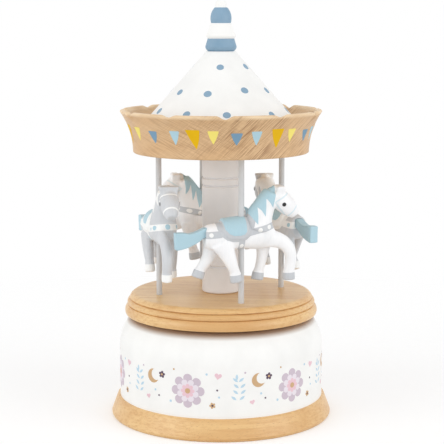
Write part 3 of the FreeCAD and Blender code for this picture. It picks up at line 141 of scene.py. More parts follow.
class CarouselSizes(bpy.types.PropertyGroup):
    """Sizes of what is carved, turned and painted."""

    carving_step: length("Carving step", 0.36, "Size of the cells that the horses are carved in")
    carving_passes: whole("Carving passes", 9, "How often a carving is sanded smooth", 0)
    tail_step: length("Tail step", 0.3, "Size of the cells that the tails are shaped in")
    tail_passes: whole("Tail passes", 5, "How often a tail is sanded smooth", 0)
    film: length("Film", 0.05, "Thickness of a printed or painted film")
    film_sink: length("Film sink", 0.03, "How deep a film's underside lies in what carries it")
    film_cut: length("Film cut", 1.2, "Widest stretch of a film that stays flat")
    rim_radius: length("Rim radius", 43.3, "Outer radius of the rim's lower edge")
    rim_wall: length("Rim wall", 3.4, "Wall of the rim at its lower edge")
    rim_flare: length("Rim flare", 6.3, "How far the rim flares out")
    rim_height: length("Rim height", 20.0, "Height of the rim up to its rounded lip")
    rim_lip: length("Rim lip", 2.8, "Width of the rim's lip")
    notch_depth: length("Notch depth", 1.7, "Depth of a scallop notch in the lip")
    notch_half: length("Notch half width", 4.4, "Half the width of a scallop notch")
    notch_fade: length("Notch fade", 6.0, "How far below the lip a notch still shows")
    notches: whole("Notches", 11, "Scallop notches round the rim")
    pennants: whole("Pennants", 24, "Pennants round the rim", 12)
    pennant_round: length("Pennant corner", 0.7, "Rounding of a pennant's corners")
    roof_skirt: length("Roof skirt", 6.5, "Height of the roof's foot below its slope")
    roof_neck: length("Roof neck", 7.2, "Radius of the roof at the top of its slope")
    dot_radius: length("Roof dot", 1.75, "Radius of a dot on the roof")


class StudioSettings(bpy.types.PropertyGroup):
    """Camera, lamps and floor."""

    camera_back: length("Camera distance", 681.0, "Distance of the camera in front of the turning axis")
    camera_side: length("Camera offset", 0.5, "Distance of the camera to the right of the turning axis")
    camera_level: length("Camera level", 198.5, "Height of the camera above the floor")
    camera_tilt: amount("Camera tilt", 0.149, "How far the camera looks down, in radians")
    focal: amount("Focal length", 112.3, "Lens in millimetres")
    left_power: amount("Left lamp", 4.7, "Power of the left lamp in watts")
    right_power: amount("Right lamp", 4.6, "Power of the right lamp in watts")
    sky: amount("Sky", 0.82, "Strength of the even light from all round")
    floor_pale: amount("Floor paleness", 0.8, "Share of light that the floor gives back")
    floor_glow: amount("Floor glow", 0.26, "White that the camera adds to the floor")
    floor_reach: length("Floor reach", 450.0, "Radius at which the floor has faded out")


class Nodes:
    """Short ways to build a node tree."""

    def __init__(self, tree):
        self.tree = tree

    def feed(self, socket, value):
        """Link a socket's value, or set it."""
        if isinstance(value, bpy.types.NodeSocket):
            self.tree.links.new(value, socket)
        else:
            socket.default_value = value

    def add(self, kind, inputs=(), **settings):
        """A new node, with what feeds its inputs by name or number."""
        node = self.tree.nodes.new("ShaderNode" + kind)
        for name, value in settings.items():
            setattr(node, name, value)
        for name, value in dict(inputs).items():
            self.feed(node.inputs[name], value)
        return node

    def compute(self, operation, *values):
        return self.add("Math", enumerate(values), operation=operation).outputs[0]

    def seen(self):
        """One for what the camera sees, also in reflections and through glass."""
        path = self.add("LightPath").outputs
        share = path["Is Camera Ray"]
        for kind in ("Is Glossy Ray", "Is Transmission Ray"):
            share = self.compute("MAXIMUM", share, path[kind])
        return share


class Finish(Nodes):
    """A material, with short ways to build its looks."""

    def __init__(self, name, roughness, metallic=0.0):
        self.material = bpy.data.materials.new(name)
        self.material.use_nodes = True
        super().__init__(self.material.node_tree)
        self.shader = self.tree.nodes["Principled BSDF"]
        self.surface("Roughness", roughness)
        self.surface("Metallic", metallic)

    def surface(self, name, value):
        self.feed(self.shader.inputs[name], value)

    def place(self):
        """Place on the object, in metres."""
        return self.add("TexCoord").outputs["Object"]

    def along(self, axis):
        """Place on the object along one axis, in metres."""
        return self.add("SeparateXYZ", {"Vector": self.place()}).outputs[axis]

    def grain(self, size, turn=(0, 0, 0), detail=2.0):
        """Noise whose cells have a size in metres along each axis of a frame turned by degrees."""
        angles = [math.radians(degrees) for degrees in turn]
        frame_of_grain = self.add(
            "Mapping", {"Vector": self.place(), "Rotation": angles, "Scale": size}, vector_type="TEXTURE")
        noise = self.add("TexNoise", {"Vector": frame_of_grain.outputs[0], "Scale": 1.0, "Detail": detail})
        return noise.outputs[0]

    def spread(self, value, low, high, start=0.0, end=1.0):
        """Map a value from low..high to start..end, and no further."""
        ranges = {"Value": value, "From Min": low, "From Max": high, "To Min": start, "To Max": end}
        return self.add("MapRange", ranges).outputs[0]

    def times(self, first, second):
        return self.compute("MULTIPLY", first, second)

    def mix(self, share, under, over, blend="MIX"):
        """Lay one colour over another, by the numbers of the node's colour sockets."""
        inputs = {0: share, 6: under, 7: over}
        return self.add("Mix", inputs, data_type="RGBA", blend_type=blend).outputs[2]

    def relief(self, height, distance):
        """Small relief of the surface, in metres."""
        bump = self.add("Bump", {"Height": height, "Distance": distance, "Strength": 1.0})
        self.surface("Normal", bump.outputs[0])


def dimmed(tone, share):
    return [channel * share for channel in tone[:3]] + [1.0]


# Depths of open grain, of brushed paint and of tool marks, and the cells of brushed paint
GRAIN_DEPTH, SKIN_DEPTH, MARK_DEPTH = 0.04 * MM, 0.03 * MM, 0.01 * MM
BRUSHED = (1.1 * MM, 1.1 * MM, 0.4 * MM)

# Painted shade low on a board, in a strip across its middle: where it ends and is full to either side, and
# the depth over which it comes up
SHADE_SIDES = (34 * MM, 12 * MM)
SHADE_DEPTH = 7 * MM


def beech(name, pale, turn, shade_top=None):
    """Lacquered beech: growth bands, fine lines along the grain, short dark flecks, and painted shade low
    down when a shade top is given.
    """
    paints = bpy.context.scene.carousel_paints
    finish = Finish(name, 0.42)
    finish.surface("Coat Weight", 0.35)
    finish.surface("Coat Roughness", 0.3)
    bands = finish.grain((0.085, 0.016, 0.0052), turn)
    lines = finish.grain((0.034, 0.0021, 0.00085), turn, 4.0)
    flecks = finish.grain((0.0024, 0.00032, 0.00024), turn, 1.0)
    tone = finish.mix(finish.spread(bands, 0.34, 0.68, 0.0, 0.55), pale, paints.beech_dark)
    tone = finish.mix(finish.spread(lines, 0.46, 0.7, 0.0, 0.66), tone, paints.beech_dark)
    tone = finish.mix(finish.spread(flecks, 0.62, 0.76, 0.0, 0.55), tone, paints.beech_fleck)
    # Painted shade: darker towards the foot, in the middle at front and back
    if shade_top:
        across = finish.spread(finish.compute("ABSOLUTE", finish.along("X")), *SHADE_SIDES)
        down = finish.spread(finish.along("Z"), shade_top, shade_top - SHADE_DEPTH, 0.0, 0.55)
        tone = finish.mix(finish.times(across, down), tone, paints.beech_dark)
    finish.surface("Base Color", tone)
    finish.surface("Roughness", finish.spread(lines, 0.3, 0.7, 0.38, 0.5))
    finish.relief(flecks, GRAIN_DEPTH)
    return finish.material


# How far down the rim its lip has a painted highlight
LIP_HIGHLIGHT = 2.2 * MM


def sanded_rim(paints):
    """Beech of the rim: sanding lines that lean one way at the right, another at the left, and a painted
    highlight along the lip.
    """
    finish = Finish("rim_beech", 0.45)
    bands = finish.grain((0.06, 0.03, 0.009), (0, -20, 0))
    flecks = finish.grain((0.0024, 0.0008, 0.00024), (0, -30, 0), 1.0)
    across = finish.along("X")
    tone = finish.mix(finish.spread(bands, 0.36, 0.7, 0.0, 0.3), paints.rim_beech, paints.beech_dark)
    tone = finish.mix(finish.spread(flecks, 0.62, 0.76, 0.0, 0.3), tone, paints.beech_fleck)
    # Slant in degrees, then where the lines start, are strongest and thin out, and how strong they are
    for slant, bare, full, thin, most in ((-45, -0.02, 0.014, 0.046, 0.95), (27, 0.022, -0.018, -0.05, 0.5)):
        turn = (0, slant, 0)
        lines = finish.spread(finish.grain((0.009, 0.009, 0.0003), turn, 0.0), 0.42, 0.66)
        patches = finish.spread(finish.grain((0.014, 0.012, 0.006), turn, 1.0), 0.35, 0.65, 0.3, 1)
        weight = finish.times(finish.spread(across, bare, full, 0.12, most), patches)
        weight = finish.times(weight, finish.spread(across, thin, full, 0.4, 1))
        tone = finish.mix(finish.times(lines, weight), tone, paints.rim_line)
    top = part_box("canopy_rim")[1].z
    # Painted highlight: paler in patches along the top of the lip
    wear = finish.spread(finish.grain((0.012, 0.012, 0.003)), 0.3, 0.6, 0.3, 0.9)
    lip = finish.spread(finish.along("Z"), top - LIP_HIGHLIGHT, top - LIP_HIGHLIGHT / 2)
    tone = finish.mix(finish.times(lip, wear), tone, paints.rim_lip)
    finish.surface("Base Color", tone)
    finish.relief(flecks, GRAIN_DEPTH)
    return finish.material


# Height over which the painted shade under the platform fades in
SHADE_FADE = 2.2 * MM


def painted(name, tone, roughness=0.5, wear=0.05, gloss=0.5, shade_from=None):
    """Brushed matt paint: faint clouds in colour and gloss, a brushed skin, and painted shade from a given
    level upwards.
    """
    paints = bpy.context.scene.carousel_paints
    finish = Finish(name, roughness)
    finish.surface("Specular IOR Level", gloss)
    clouds = finish.grain((0.011, 0.011, 0.014), detail=3.0)
    skin = finish.grain(BRUSHED, detail=3.0)
    tone = finish.mix(finish.spread(clouds, 0.38, 0.72), tone, dimmed(tone, 1 - wear))
    # Painted shade: darker brown upwards from a level, where the platform above shades the drum's shoulder
    if shade_from:
        shade_share = finish.spread(finish.along("Z"), shade_from, shade_from + SHADE_FADE, 0.0, 0.85)
        tone = finish.mix(shade_share, tone, paints.rubbed)
    finish.surface("Base Color", tone)
    finish.surface("Roughness", finish.spread(clouds, 0.3, 0.7, roughness - 0.06, roughness + 0.06))
    finish.relief(skin, SKIN_DEPTH)
    return finish.material


def metal(name, tone, roughness):
    """Worked metal with fine tool marks."""
    finish = Finish(name, roughness, 1.0)
    marks = finish.grain((0.004, 0.00012, 0.00012))
    finish.surface("Base Color", finish.mix(finish.spread(marks, 0.35, 0.7), tone, dimmed(tone, 0.8)))
    finish.surface("Roughness", finish.spread(marks, 0.3, 0.7, roughness - 0.08, roughness + 0.1))
    finish.relief(marks, MARK_DEPTH)
    return finish.material


def new_object(name, data):
    made = bpy.data.objects.new(name, data)
    bpy.context.scene.collection.objects.link(made)
    return made


def new_piece(name, bm, node, materials, replaced=()):
    """Make a finished mesh a piece that moves with the body of a node."""
    mesh = bpy.data.meshes.new(name)
    bm.to_mesh(mesh)
    bm.free()
    for material in materials:
        mesh.materials.append(material)
    made = new_object(name, mesh)
    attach(made, frame["nodes"][node]["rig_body"])
    if replaced:
        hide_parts(*replaced)
    return made


def finish_node(node, material):
    """Give a node that shows as it is its finish."""
    mesh = frame["nodes"][node].data
    mesh.materials.clear()
    mesh.materials.append(material)


def merged_copy(node):
    """A copy of a node's mesh with its triangles joined."""
    bm = bmesh.new()
    bm.from_mesh(frame["nodes"][node].data)
    bmesh.ops.remove_doubles(bm, verts=bm.verts, dist=WELD)
    return bm


def smooth_step(share):
    share = min(max(share, 0.0), 1.0)
    return share * share * (3 - 2 * share)


def ease(value, start, end):
    """Nought up to a start, one from an end on, and a smooth way between."""
    return smooth_step((value - start) / (end - start))


def carved(bm, step, passes):
    """Carve a closed shape anew in even cells, and sand it smooth."""
    mesh = bpy.data.meshes.new("blank")
    bm.to_mesh(mesh)
    bm.clear()
    blank = new_object("blank", mesh)
    cells = blank.modifiers.new("cells", "REMESH")
    cells.mode = "VOXEL"
    cells.voxel_size = step
    shaped = bpy.data.meshes.new_from_object(blank.evaluated_get(bpy.context.evaluated_depsgraph_get()))
    bm.from_mesh(shaped)
    bpy.data.objects.remove(blank)
    bpy.data.meshes.remove(mesh)
    bpy.data.meshes.remove(shaped)
    for _ in range(passes):
        bmesh.ops.smooth_vert(
            bm, verts=bm.verts, factor=0.5, use_axis_x=True, use_axis_y=True, use_axis_z=True)
    for face in bm.faces:
        face.smooth = True


# Horse's own frame in millimetres: forward from the pole, to the left, and up from the lowest hoof
HOOF_LEVEL = 71.0

# How far the right horse is twisted about its pole, and how far forward the back one is drilled for it
RIGHT_TWIST = math.radians(9.0)
BACK_BORE = 4.2

# Levels and radius of the plug that closes the pole's bore
BORE_FILL = (17.6, 30.6)
BORE_FILL_RADIUS = 1.9

# Painted places on the horses' sides: forward and up
MANE = (
    (3.0, 34.3), (0.0, 38.0), (12.0, 52.0), (16.6, 52.0), (16.2, 44.0), (14.5, 36.6), (12.9, 39.2),
    (11.3, 41.2), (10.9, 37.0), (10.4, 32.6), (8.6, 35.6), (7.0, 37.0), (6.9, 33.0), (6.5, 28.9), (4.6, 31.6),
)
INNER_MANE = (
    (3.0, 34.3), (0.0, 38.0), (12.0, 52.0), (15.2, 52.0), (14.9, 45.6), (13.6, 35.9), (12.2, 39.6),
    (11.5, 41.4), (11.3, 37.5), (10.7, 32.9), (9.5, 36.6), (8.9, 38.2), (8.6, 33.6), (7.7, 29.1), (6.0, 31.8),
)
SADDLE = (
    (-10.8, 40.0), (0.9, 40.0), (0.9, 26.2), (-0.2, 24.8), (-2.2, 24.3), (-5.4, 24.3), (-7.8, 25.3),
    (-9.6, 27.4),
)
BLANKET = (
    (-13.8, 40.0), (6.0, 40.0), (5.7, 31.6), (4.7, 28.0), (3.4, 24.4), (1.0, 22.2), (-2.0, 21.2),
    (-5.4, 21.2), (-8.8, 22.2), (-11.4, 24.2), (-13.2, 27.4),
)
RUMP_STRAP = ((-24.0, 24.4), (-12.0, 25.1))
STRAP_HALF = 1.6
GIRTH = ((-1.2, 22.0), (-1.2, 14.0))
GIRTH_HALF = 1.5
BRIDLE = (
    ((15.9, 39.0), (23.6, 43.8)), ((15.9, 39.0), (22.3, 31.4)), ((22.3, 31.4), (27.6, 37.6)),
)
BRIDLE_HALF = 0.38
EYE_RADIUS = 0.98

# Dots on the rump and the girth: forward, up and radius. On the chest strap: forward and radius
DOTS = ((-16.3, 24.85, 1.0), (-19.6, 24.6, 0.9), (-1.2, 19.2, 1.0))
CHEST_DOTS = ((7.5, 1.05), (12.2, 1.1))

# Dot in the middle of the chest: where the strap gives its level, its radius and where it starts
CHEST_REACH = 16.5
CHEST_DOT = 1.2
CHEST_DOT_FROM = 13.5

# Hooves: how far up and out their paint goes. Legs: fetlock and toe, forward and up, and how far to the left
HOOF_HEIGHT = 3.7
HOOF_REACH = 4.6
LEGS = (
    ((23.2, 5.4), (23.3, 1.2), -2.5), ((9.9, 4.9), (9.3, 0.9), 3.7),
    ((-4.2, 6.2), (-3.6, 1.6), -3.7), ((-19.4, 7.4), (-20.8, 3.4), 3.7),
)

# How far each painted place stands out, in millimetres
RELIEFS = {
    "mane": 0.28, "saddle": 0.22, "blanket": 0.14, "strap": 0.14, "dot": 0.16, "eye": 0.3, "hoof": 0.06,
}
RELIEF_EDGE = 0.45

# How far each head is turned outwards, in degrees, about an upright axis, and by what share it is wider
HEAD_TURNS = {"front": 2.0, "right": 21.0, "back": 8.0, "left": 7.0}
HEAD_AXIS = 18.5
HEAD_WIDER = 0.22

# Way along the neck, forward and up, and where on it the turn and the width start and are full
NECK_WAY = (0.75, 0.66)
NECK_TURNS = (31.5, 39.0)

# Inner feet that stand higher than the pattern's: forward place and lift. Levels where it starts and is full
LIFTED_FEET = {"back": ((-20.8, 3.2), (9.3, 1.3))}
FOOT_REACH = 8.0
LIFT_LEVELS = (14.0, 6.0)

# Throats that are left thicker than the pattern's, and the place and reach of that, forward and up
THICK_THROATS = {"back": 2.4}
THROAT = (16.5, 32.0)
THROAT_REACH = (7.0, 9.0)

# How each kind of horse is painted by hand: chest strap, how much smaller its saddle is, how much further
# its mane reaches over the poll, and its eyes
Harness = namedtuple("Harness", "chest_strap saddle_inset mane_outset eye")
WHITE_HARNESS = Harness(((3.0, 25.5), (20.0, 29.4)), 0.0, 0.0, (20.2, 38.0))
GREY_HARNESS = Harness(((3.0, 24.0), (20.0, 27.2)), 1.5, 1.4, (21.4, 38.4))
POLL_LEVELS = (41.0, 44.5)


def to_line(spots, start, end):
    """Distance of each spot from a straight line between two places."""
    start, end = np.array(start, float), np.array(end, float)
    way = end - start
    share = np.clip((spots - start) @ way / (way @ way), 0, 1)
    return np.linalg.norm(spots - start - share[:, None] * way, axis=1)


def to_outline(spots, corners):
    """Distance of each spot from a closed outline, less than nought inside."""
    inside = np.zeros(len(spots), bool)
    nearest = np.full(len(spots), np.inf)
    for start, end in zip(corners, corners[1:] + corners[:1]):
        nearest = np.minimum(nearest, to_line(spots, start, end))
        crosses = (start[1] > spots[:, 1]) != (end[1] > spots[:, 1])
        if crosses.any():
            slope = (end[0] - start[0]) / (end[1] - start[1])
            inside ^= crosses & (spots[:, 0] < start[0] + (spots[:, 1] - start[1]) * slope)
    return np.where(inside, -nearest, nearest)


def to_spot(spots, centre, radius):
    return np.linalg.norm(spots - np.array(centre), axis=1) - radius


def to_hoof(places, fetlock, toe, across):
    """Distance up a leg from the paint's edge on its hoof."""
    toe_place = np.array((toe[0], across, toe[1]))
    way = np.array((fetlock[0], across, fetlock[1])) - toe_place
    way /= np.linalg.norm(way)
    up = (places - toe_place) @ way
    off = np.linalg.norm(places - toe_place - np.outer(up, way), axis=1)
    return np.maximum(up - HOOF_HEIGHT, off - HOOF_REACH)


def strap_level(strap, reach):
    """Level of a strap's middle at a reach."""
    (start, low), (end, high) = strap
    return low + (high - low) * (reach - start) / (end - start)


def painted_places(places, harness):
    """Distance of each place on a horse from the edge of each kind of paint, in millimetres."""
    side = places[:, (0, 2)]
    front = places[:, (1, 2)]
    strap = harness.chest_strap
    straps = [to_line(side, *line) - STRAP_HALF for line in (RUMP_STRAP, strap)]
    straps += [to_line(side, *GIRTH) - GIRTH_HALF]
    dots = [to_spot(side, (reach, level), radius) for reach, level, radius in DOTS]
    dots += [to_spot(side, (reach, strap_level(strap, reach)), radius) for reach, radius in CHEST_DOTS]
    chest = to_spot(front, (0, strap_level(strap, CHEST_REACH)), CHEST_DOT)
    dots += [np.maximum(chest, CHEST_DOT_FROM - places[:, 0])]
    inner = places[:, 1] > 0
    mane = np.where(inner, to_outline(side, INNER_MANE), to_outline(side, MANE))
    poll = np.clip((places[:, 2] - POLL_LEVELS[0]) / (POLL_LEVELS[1] - POLL_LEVELS[0]), 0, 1)
    return {
        "blanket": to_outline(side, BLANKET),
        "saddle": to_outline(side, SADDLE) + harness.saddle_inset,
        "strap": np.minimum.reduce(straps),
        "dot": np.minimum.reduce(dots),
        "mane": mane - harness.mane_outset * poll,
        "bridle": np.minimum.reduce([to_line(side, *line) for line in BRIDLE]) - BRIDLE_HALF,
        "hoof": np.minimum.reduce([to_hoof(places, *leg) for leg in LEGS]),
        "eye": to_spot(side, harness.eye, EYE_RADIUS),
    }


# How much a brush stroke dims each colour of light
BRUSH_STROKE = (0.84, 0.88, 0.9, 1.0)


def horse_paint(name, body, tones):
    """Satin paint of a horse: each kind of paint covers the ones before it up to its edge."""
    finish = Finish(name, 0.42)
    clouds = finish.grain((0.006, 0.006, 0.008), detail=3.0)
    skin = finish.grain((0.0009, 0.0009, 0.0005), detail=3.0)
    strokes = finish.grain((0.0008, 0.0008, 0.007))
    tone = finish.mix(finish.spread(clouds, 0.4, 0.75), body, dimmed(body, 0.94))
    for kind, over in tones.items():
        edge = finish.add("Attribute", attribute_name=kind).outputs["Fac"]
        tone = finish.mix(finish.spread(edge, 0.06, -0.06), tone, over)
    tone = finish.mix(finish.spread(strokes, 0.42, 0.7, 0.0, 0.3), tone, BRUSH_STROKE, "MULTIPLY")
    finish.surface("Base Color", tone)
    finish.surface("Roughness", finish.spread(clouds, 0.3, 0.7, 0.36, 0.5))
    finish.relief(skin, SKIN_DEPTH)
    return finish.material


def horse_frame(side):
    """Place of a horse's own frame: its heading about its pole, and how far back on it the horse sits."""
    low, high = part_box(f"pole_{side}")
    pole = (low + high) / 2
    heading = math.atan2(pole.y, pole.x) + math.pi / 2
    if side == "right":
        heading += RIGHT_TWIST
    turn = Matrix.Rotation(heading, 4, "Z")
    start = Matrix.Translation((pole.x, pole.y, HOOF_LEVEL * MM))
    return start @ turn @ Matrix.Translation((-BACK_BORE * MM if side == "back" else 0, 0, 0))


class Step:
    """What most steps share: they are given the paints and the sizes."""

    def execute(self, context):
        self.make(context.scene.carousel_paints, context.scene.carousel_sizes)
        return {"FINISHED"}


class CarveHorses(Step, bpy.types.Operator):
    """Carve the four horses and paint their harness"""

    bl_idname = "carousel.carve_horses"
    bl_label = "Carve horses"

    def make(self, paints, sizes):
        white = horse_paint("white_horse_paint", paints.horse_white, {
            "blanket": paints.harness_grey, "saddle": paints.light_blue, "strap": paints.harness_grey,
            "dot": paints.white, "mane": paints.light_blue, "bridle": paints.bridle_blue,
            "hoof": paints.harness_grey, "eye": paints.black,
        })
        grey = horse_paint("grey_horse_paint", paints.horse_grey, {
            "blanket": paints.white, "saddle": paints.light_blue, "strap": paints.white,
            "dot": paints.light_blue, "mane": paints.white, "bridle": paints.white,
            "hoof": paints.white, "eye": paints.black,
        })
        kinds = ((white, "white_horse", WHITE_HARNESS), (grey, "grey_horse", GREY_HARNESS))
        for number, side in enumerate(SIDES):
            node = f"horse_{side}"
            place = horse_frame(side)
            bm = merged_copy(node)
            self.fill_bore(bm, place, BACK_BORE * MM if side == "back" else 0)
            carved(bm, sizes.carving_step, sizes.carving_passes)
            coat, slot, harness = kinds[number % 2]
            fields = self.raise_paint(bm, place, harness)
            self.vary(bm, place, side)
            piece = new_piece(f"carved_horse_{side}", bm, node, [coat], [node])
            for kind, values in fields.items():
                layer = piece.data.attributes.new(kind, "FLOAT", "POINT")
                layer.data.foreach_set("value", values.astype(np.float32))

    def fill_bore(self, bm, place, reach):
        """Close the pole's bore inside the barrel, where the pole hides it."""
        low, high = (level * MM for level in BORE_FILL)
        middle = place @ Matrix.Translation((reach, 0, (low + high) / 2))
        radius = BORE_FILL_RADIUS * MM
        bmesh.ops.create_cone(
            bm, cap_ends=True, segments=24, radius1=radius, radius2=radius, depth=high - low, matrix=middle)

    def raise_paint(self, bm, place, harness):
        """Lift each kind of paint a little off the wood, and give the distances from the paints' edges."""
        back = place.inverted()
        places = np.array([back @ vert.co for vert in bm.verts]) / MM
        fields = painted_places(places, harness)
        rise = np.zeros(len(places))
        for kind, height in RELIEFS.items():
            share = np.clip(-fields[kind] / RELIEF_EDGE + 0.5, 0, 1)
            rise += height * share * share * (3 - 2 * share)
        bm.normal_update()
        for vert, lift in zip(bm.verts, rise):
            vert.co += vert.normal * (lift * MM)
        return fields

    def vary(self, bm, place, side):
        """Widen and turn the head, and carve the throat and the feet that differ from the pattern."""
        back = place.inverted()
        axis = Vector((HEAD_AXIS, 0, 0))
        for vert in bm.verts:
            spot = back @ vert.co / MM
            neck = spot.x * NECK_WAY[0] + spot.z * NECK_WAY[1]
            share = ease(neck, *NECK_TURNS)
            turn = math.radians(HEAD_TURNS[side]) * share
            spot.y *= 1 + HEAD_WIDER * share
            forward, up = (spot.x - THROAT[0]) / THROAT_REACH[0], (spot.z - THROAT[1]) / THROAT_REACH[1]
            spot.x += THICK_THROATS.get(side, 0.0) * smooth_step(1 - math.hypot(forward, up))
            for foot, lift in LIFTED_FEET.get(side, ()):
                if spot.y > 0 and abs(spot.x - foot) < FOOT_REACH:
                    spot.z += lift * ease(spot.z, *LIFT_LEVELS)
            spot = axis + Matrix.Rotation(-turn, 3, "Z") @ (spot - axis)
            vert.co = place @ (spot * MM)


class ShapeTails(Step, bpy.types.Operator):
    """Round and paint the sawn tails"""

    bl_idname = "carousel.shape_tails"
    bl_label = "Shape tails"

    def make(self, paints, sizes):
        coat = painted("tail_paint", paints.light_blue, 0.45)
        for side in SIDES:
            bm = merged_copy(f"tail_{side}")
            carved(bm, sizes.tail_step, sizes.tail_passes)
            new_piece(f"shaped_tail_{side}", bm, f"tail_{side}", [coat], [f"tail_{side}"])


def flared(foot, reach, height, rise):
    """Radius at a rise of a face that starts upright at a foot and flares out by a reach over a height."""
    curve = (reach ** 2 + height ** 2) / (2 * reach)
    return foot + curve - math.sqrt(curve ** 2 - rise ** 2)


# Rim as it is turned: rings up its outside, over its lip and down its inside, where the lip's round starts
# and ends, how far its lower edges are broken, and steps round it from notch to notch
OUTER_RINGS, LIP_RINGS, INNER_RINGS = 30, 9, 20
LIP_TURNS = (0.15, math.pi - 0.15)
RIM_EDGE = 0.3 * MM
NOTCH_STEPS = 36

# Turn of the first notch from the front, and the share of its depth that every second one has
FIRST_NOTCH = math.radians(2.4)
SHALLOW_NOTCH = 0.66


class TurnRim(Step, bpy.types.Operator):
    """Turn the canopy's flared rim and carve the notches in its lip"""

    bl_idname = "carousel.turn_rim"
    bl_label = "Turn rim"

    def make(self, paints, sizes):
        bm = bmesh.new()
        verts = [bm.verts.new((radius, 0, level)) for radius, level in self.section(sizes)]
        edges = [bm.edges.new(pair) for pair in zip(verts, verts[1:] + verts[:1])]
        bmesh.ops.spin(
            bm, geom=verts + edges, cent=(0, 0, 0), axis=(0, 0, 1), dvec=(0, 0, 0), angle=2 * math.pi,
            steps=sizes.notches * NOTCH_STEPS, use_merge=True, use_duplicate=False)
        bmesh.ops.remove_doubles(bm, verts=bm.verts, dist=WELD)
        bmesh.ops.recalc_face_normals(bm, faces=bm.faces)
        self.carve_notches(bm, sizes)
        for face in bm.faces:
            face.smooth = True
        new_piece("scalloped_rim", bm, "canopy_rim", [sanded_rim(paints)], ["canopy_rim"])

    def section(self, sizes):
        """Half section of the rim: radius and level, round the way."""
        low, top = (corner.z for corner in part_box("canopy_rim"))
        height = sizes.rim_height
        outer = [
            (flared(sizes.rim_radius, sizes.rim_flare, height, rise), low + rise)
            for rise in np.linspace(RIM_EDGE, height, OUTER_RINGS)
        ]
        lip = sizes.rim_lip / 2
        middle = sizes.rim_radius + sizes.rim_flare - lip
        crown = top - low - height
        lip_round = [
            (middle + lip * math.cos(turn), low + height + crown * math.sin(turn))
            for turn in np.linspace(*LIP_TURNS, LIP_RINGS)
        ]
        inside = sizes.rim_radius - sizes.rim_wall
        inner = [
            (flared(inside, middle - lip - inside, height, rise), low + rise)
            for rise in np.linspace(height, RIM_EDGE, INNER_RINGS)
        ]
        foot = [(inside + RIM_EDGE, low), (sizes.rim_radius - RIM_EDGE, low)]
        return outer + lip_round + inner + foot

    def carve_notches(self, bm, sizes):
        """Sink the lip in soft notches that fade out down the rim."""
        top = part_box("canopy_rim")[1].z
        pitch = 2 * math.pi / sizes.notches
        first = FIRST_NOTCH - math.pi / 2
        for vert in bm.verts:
            number, turn = divmod(math.atan2(vert.co.y, vert.co.x) - first + pitch / 2, pitch)
            off = abs(turn - pitch / 2) * vert.co.xy.length / sizes.notch_half
            share = smooth_step(1 - off) * smooth_step(1 - (top - vert.co.z) / sizes.notch_fade)
            vert.co.z -= sizes.notch_depth * share * (1.0 if number % 2 == 0 else SHALLOW_NOTCH)


def rounded(corners, reach):
    """An outline whose corners are bent round, from a reach before each to a reach after it."""
    spots = []
    for before, corner, after in zip(corners[-1:] + corners[:-1], corners, corners[1:] + corners[:1]):
        corner = Vector(corner)
        start = corner + (Vector(before) - corner).normalized() * reach
        end = corner + (Vector(after) - corner).normalized() * reach
        for share in (0.0, 0.25, 0.5, 0.75, 1.0):
            spots.append(tuple(start.lerp(corner, share).lerp(corner.lerp(end, share), share)))
    return spots


# Half width of a pennant at half its drop, as a share of its width
PENNANT_BOW = 0.31


def pennant(width, drop, lean, reach):
    """A pennant's outline, hung from its top edge, with bowed sides and a tip that leans to one side."""
    tip = drop * math.tan(lean)
    bow = width * PENNANT_BOW
    middle, half = tip / 2, -drop / 2
    corners = [(-width / 2, 0), (middle - bow, half), (tip, -drop), (middle + bow, half), (width / 2, 0)]
    return rounded(corners, reach)


def polar_outline(radius_at, count):
    """Outline whose reach from its middle is a formula of the direction."""
    turns = [2 * math.pi * number / count for number in range(count)]
    return [(radius_at(turn) * math.cos(turn), radius_at(turn) * math.sin(turn)) for turn in turns]


def disc(radius):
    return polar_outline(lambda turn: radius, 20)


def flower(petals, radius):
    """A flower with round petals, from the outer edge of a ring of discs."""
    pitch = 2 * math.pi / petals
    ring = radius / (1 + math.sin(pitch / 2))
    petal = radius - ring

    def reach(turn):
        off = (turn + pitch / 2) % pitch - pitch / 2
        return ring * math.cos(off) + math.sqrt(max(petal ** 2 - (ring * math.sin(off)) ** 2, 0))

    return polar_outline(reach, petals * 10)


rosette = partial(flower, 8)
daisy = partial(flower, 5)


def heart(width):
    """A plump heart from its usual curve."""
    spots = []
    for number in range(36):
        turn = 2 * math.pi * (number + 0.5) / 36
        rise = 13 * math.cos(turn) - 5 * math.cos(2 * turn) - 2 * math.cos(3 * turn) - math.cos(4 * turn)
        spots.append((width * math.sin(turn) ** 3 / 2, width * rise / 32))
    return spots


def crescent(height):
    """A moon between two arcs that meet at its horns."""
    outer, horn = height / 2, math.radians(55)
    inner, middle = outer * math.sin(horn), outer * math.cos(horn)
    spots = [
        (outer * math.cos(turn), outer * math.sin(turn)) for turn in np.linspace(horn, 2 * math.pi - horn, 28)
    ]
    spots += [
        (middle + inner * math.cos(turn), inner * math.sin(turn))
        for turn in np.linspace(1.5 * math.pi, 0.5 * math.pi, 20)[1:-1]
    ]
    return spots


def leaf(size):
    """A slim leaf between two arcs."""
    half = [(share - 0.5, 0.19 * math.sin(share * math.pi)) for share in np.linspace(0, 1, 12)]
    spots = half + [(x, -y) for x, y in half[-2:0:-1]]
    return [(x * size, y * size) for x, y in spots]


def sprig(height):
    """Places of a sprig's leaves, in pairs up a bowed stem: across, up and the way that each leaf points."""
    leaves = []
    for share in np.linspace(0.14, 0.82, 4):
        middle = 0.1 * height * math.sin(math.pi * share)
        spread = height * (0.2 - 0.08 * share)
        for side in (-1, 1):
            up = height * (share - 0.5) + spread * 0.62
            leaves.append((middle + side * spread * 0.78, up, 90 - side * 52))
    leaves.append((0.0, height * 0.5, 90))
    return leaves


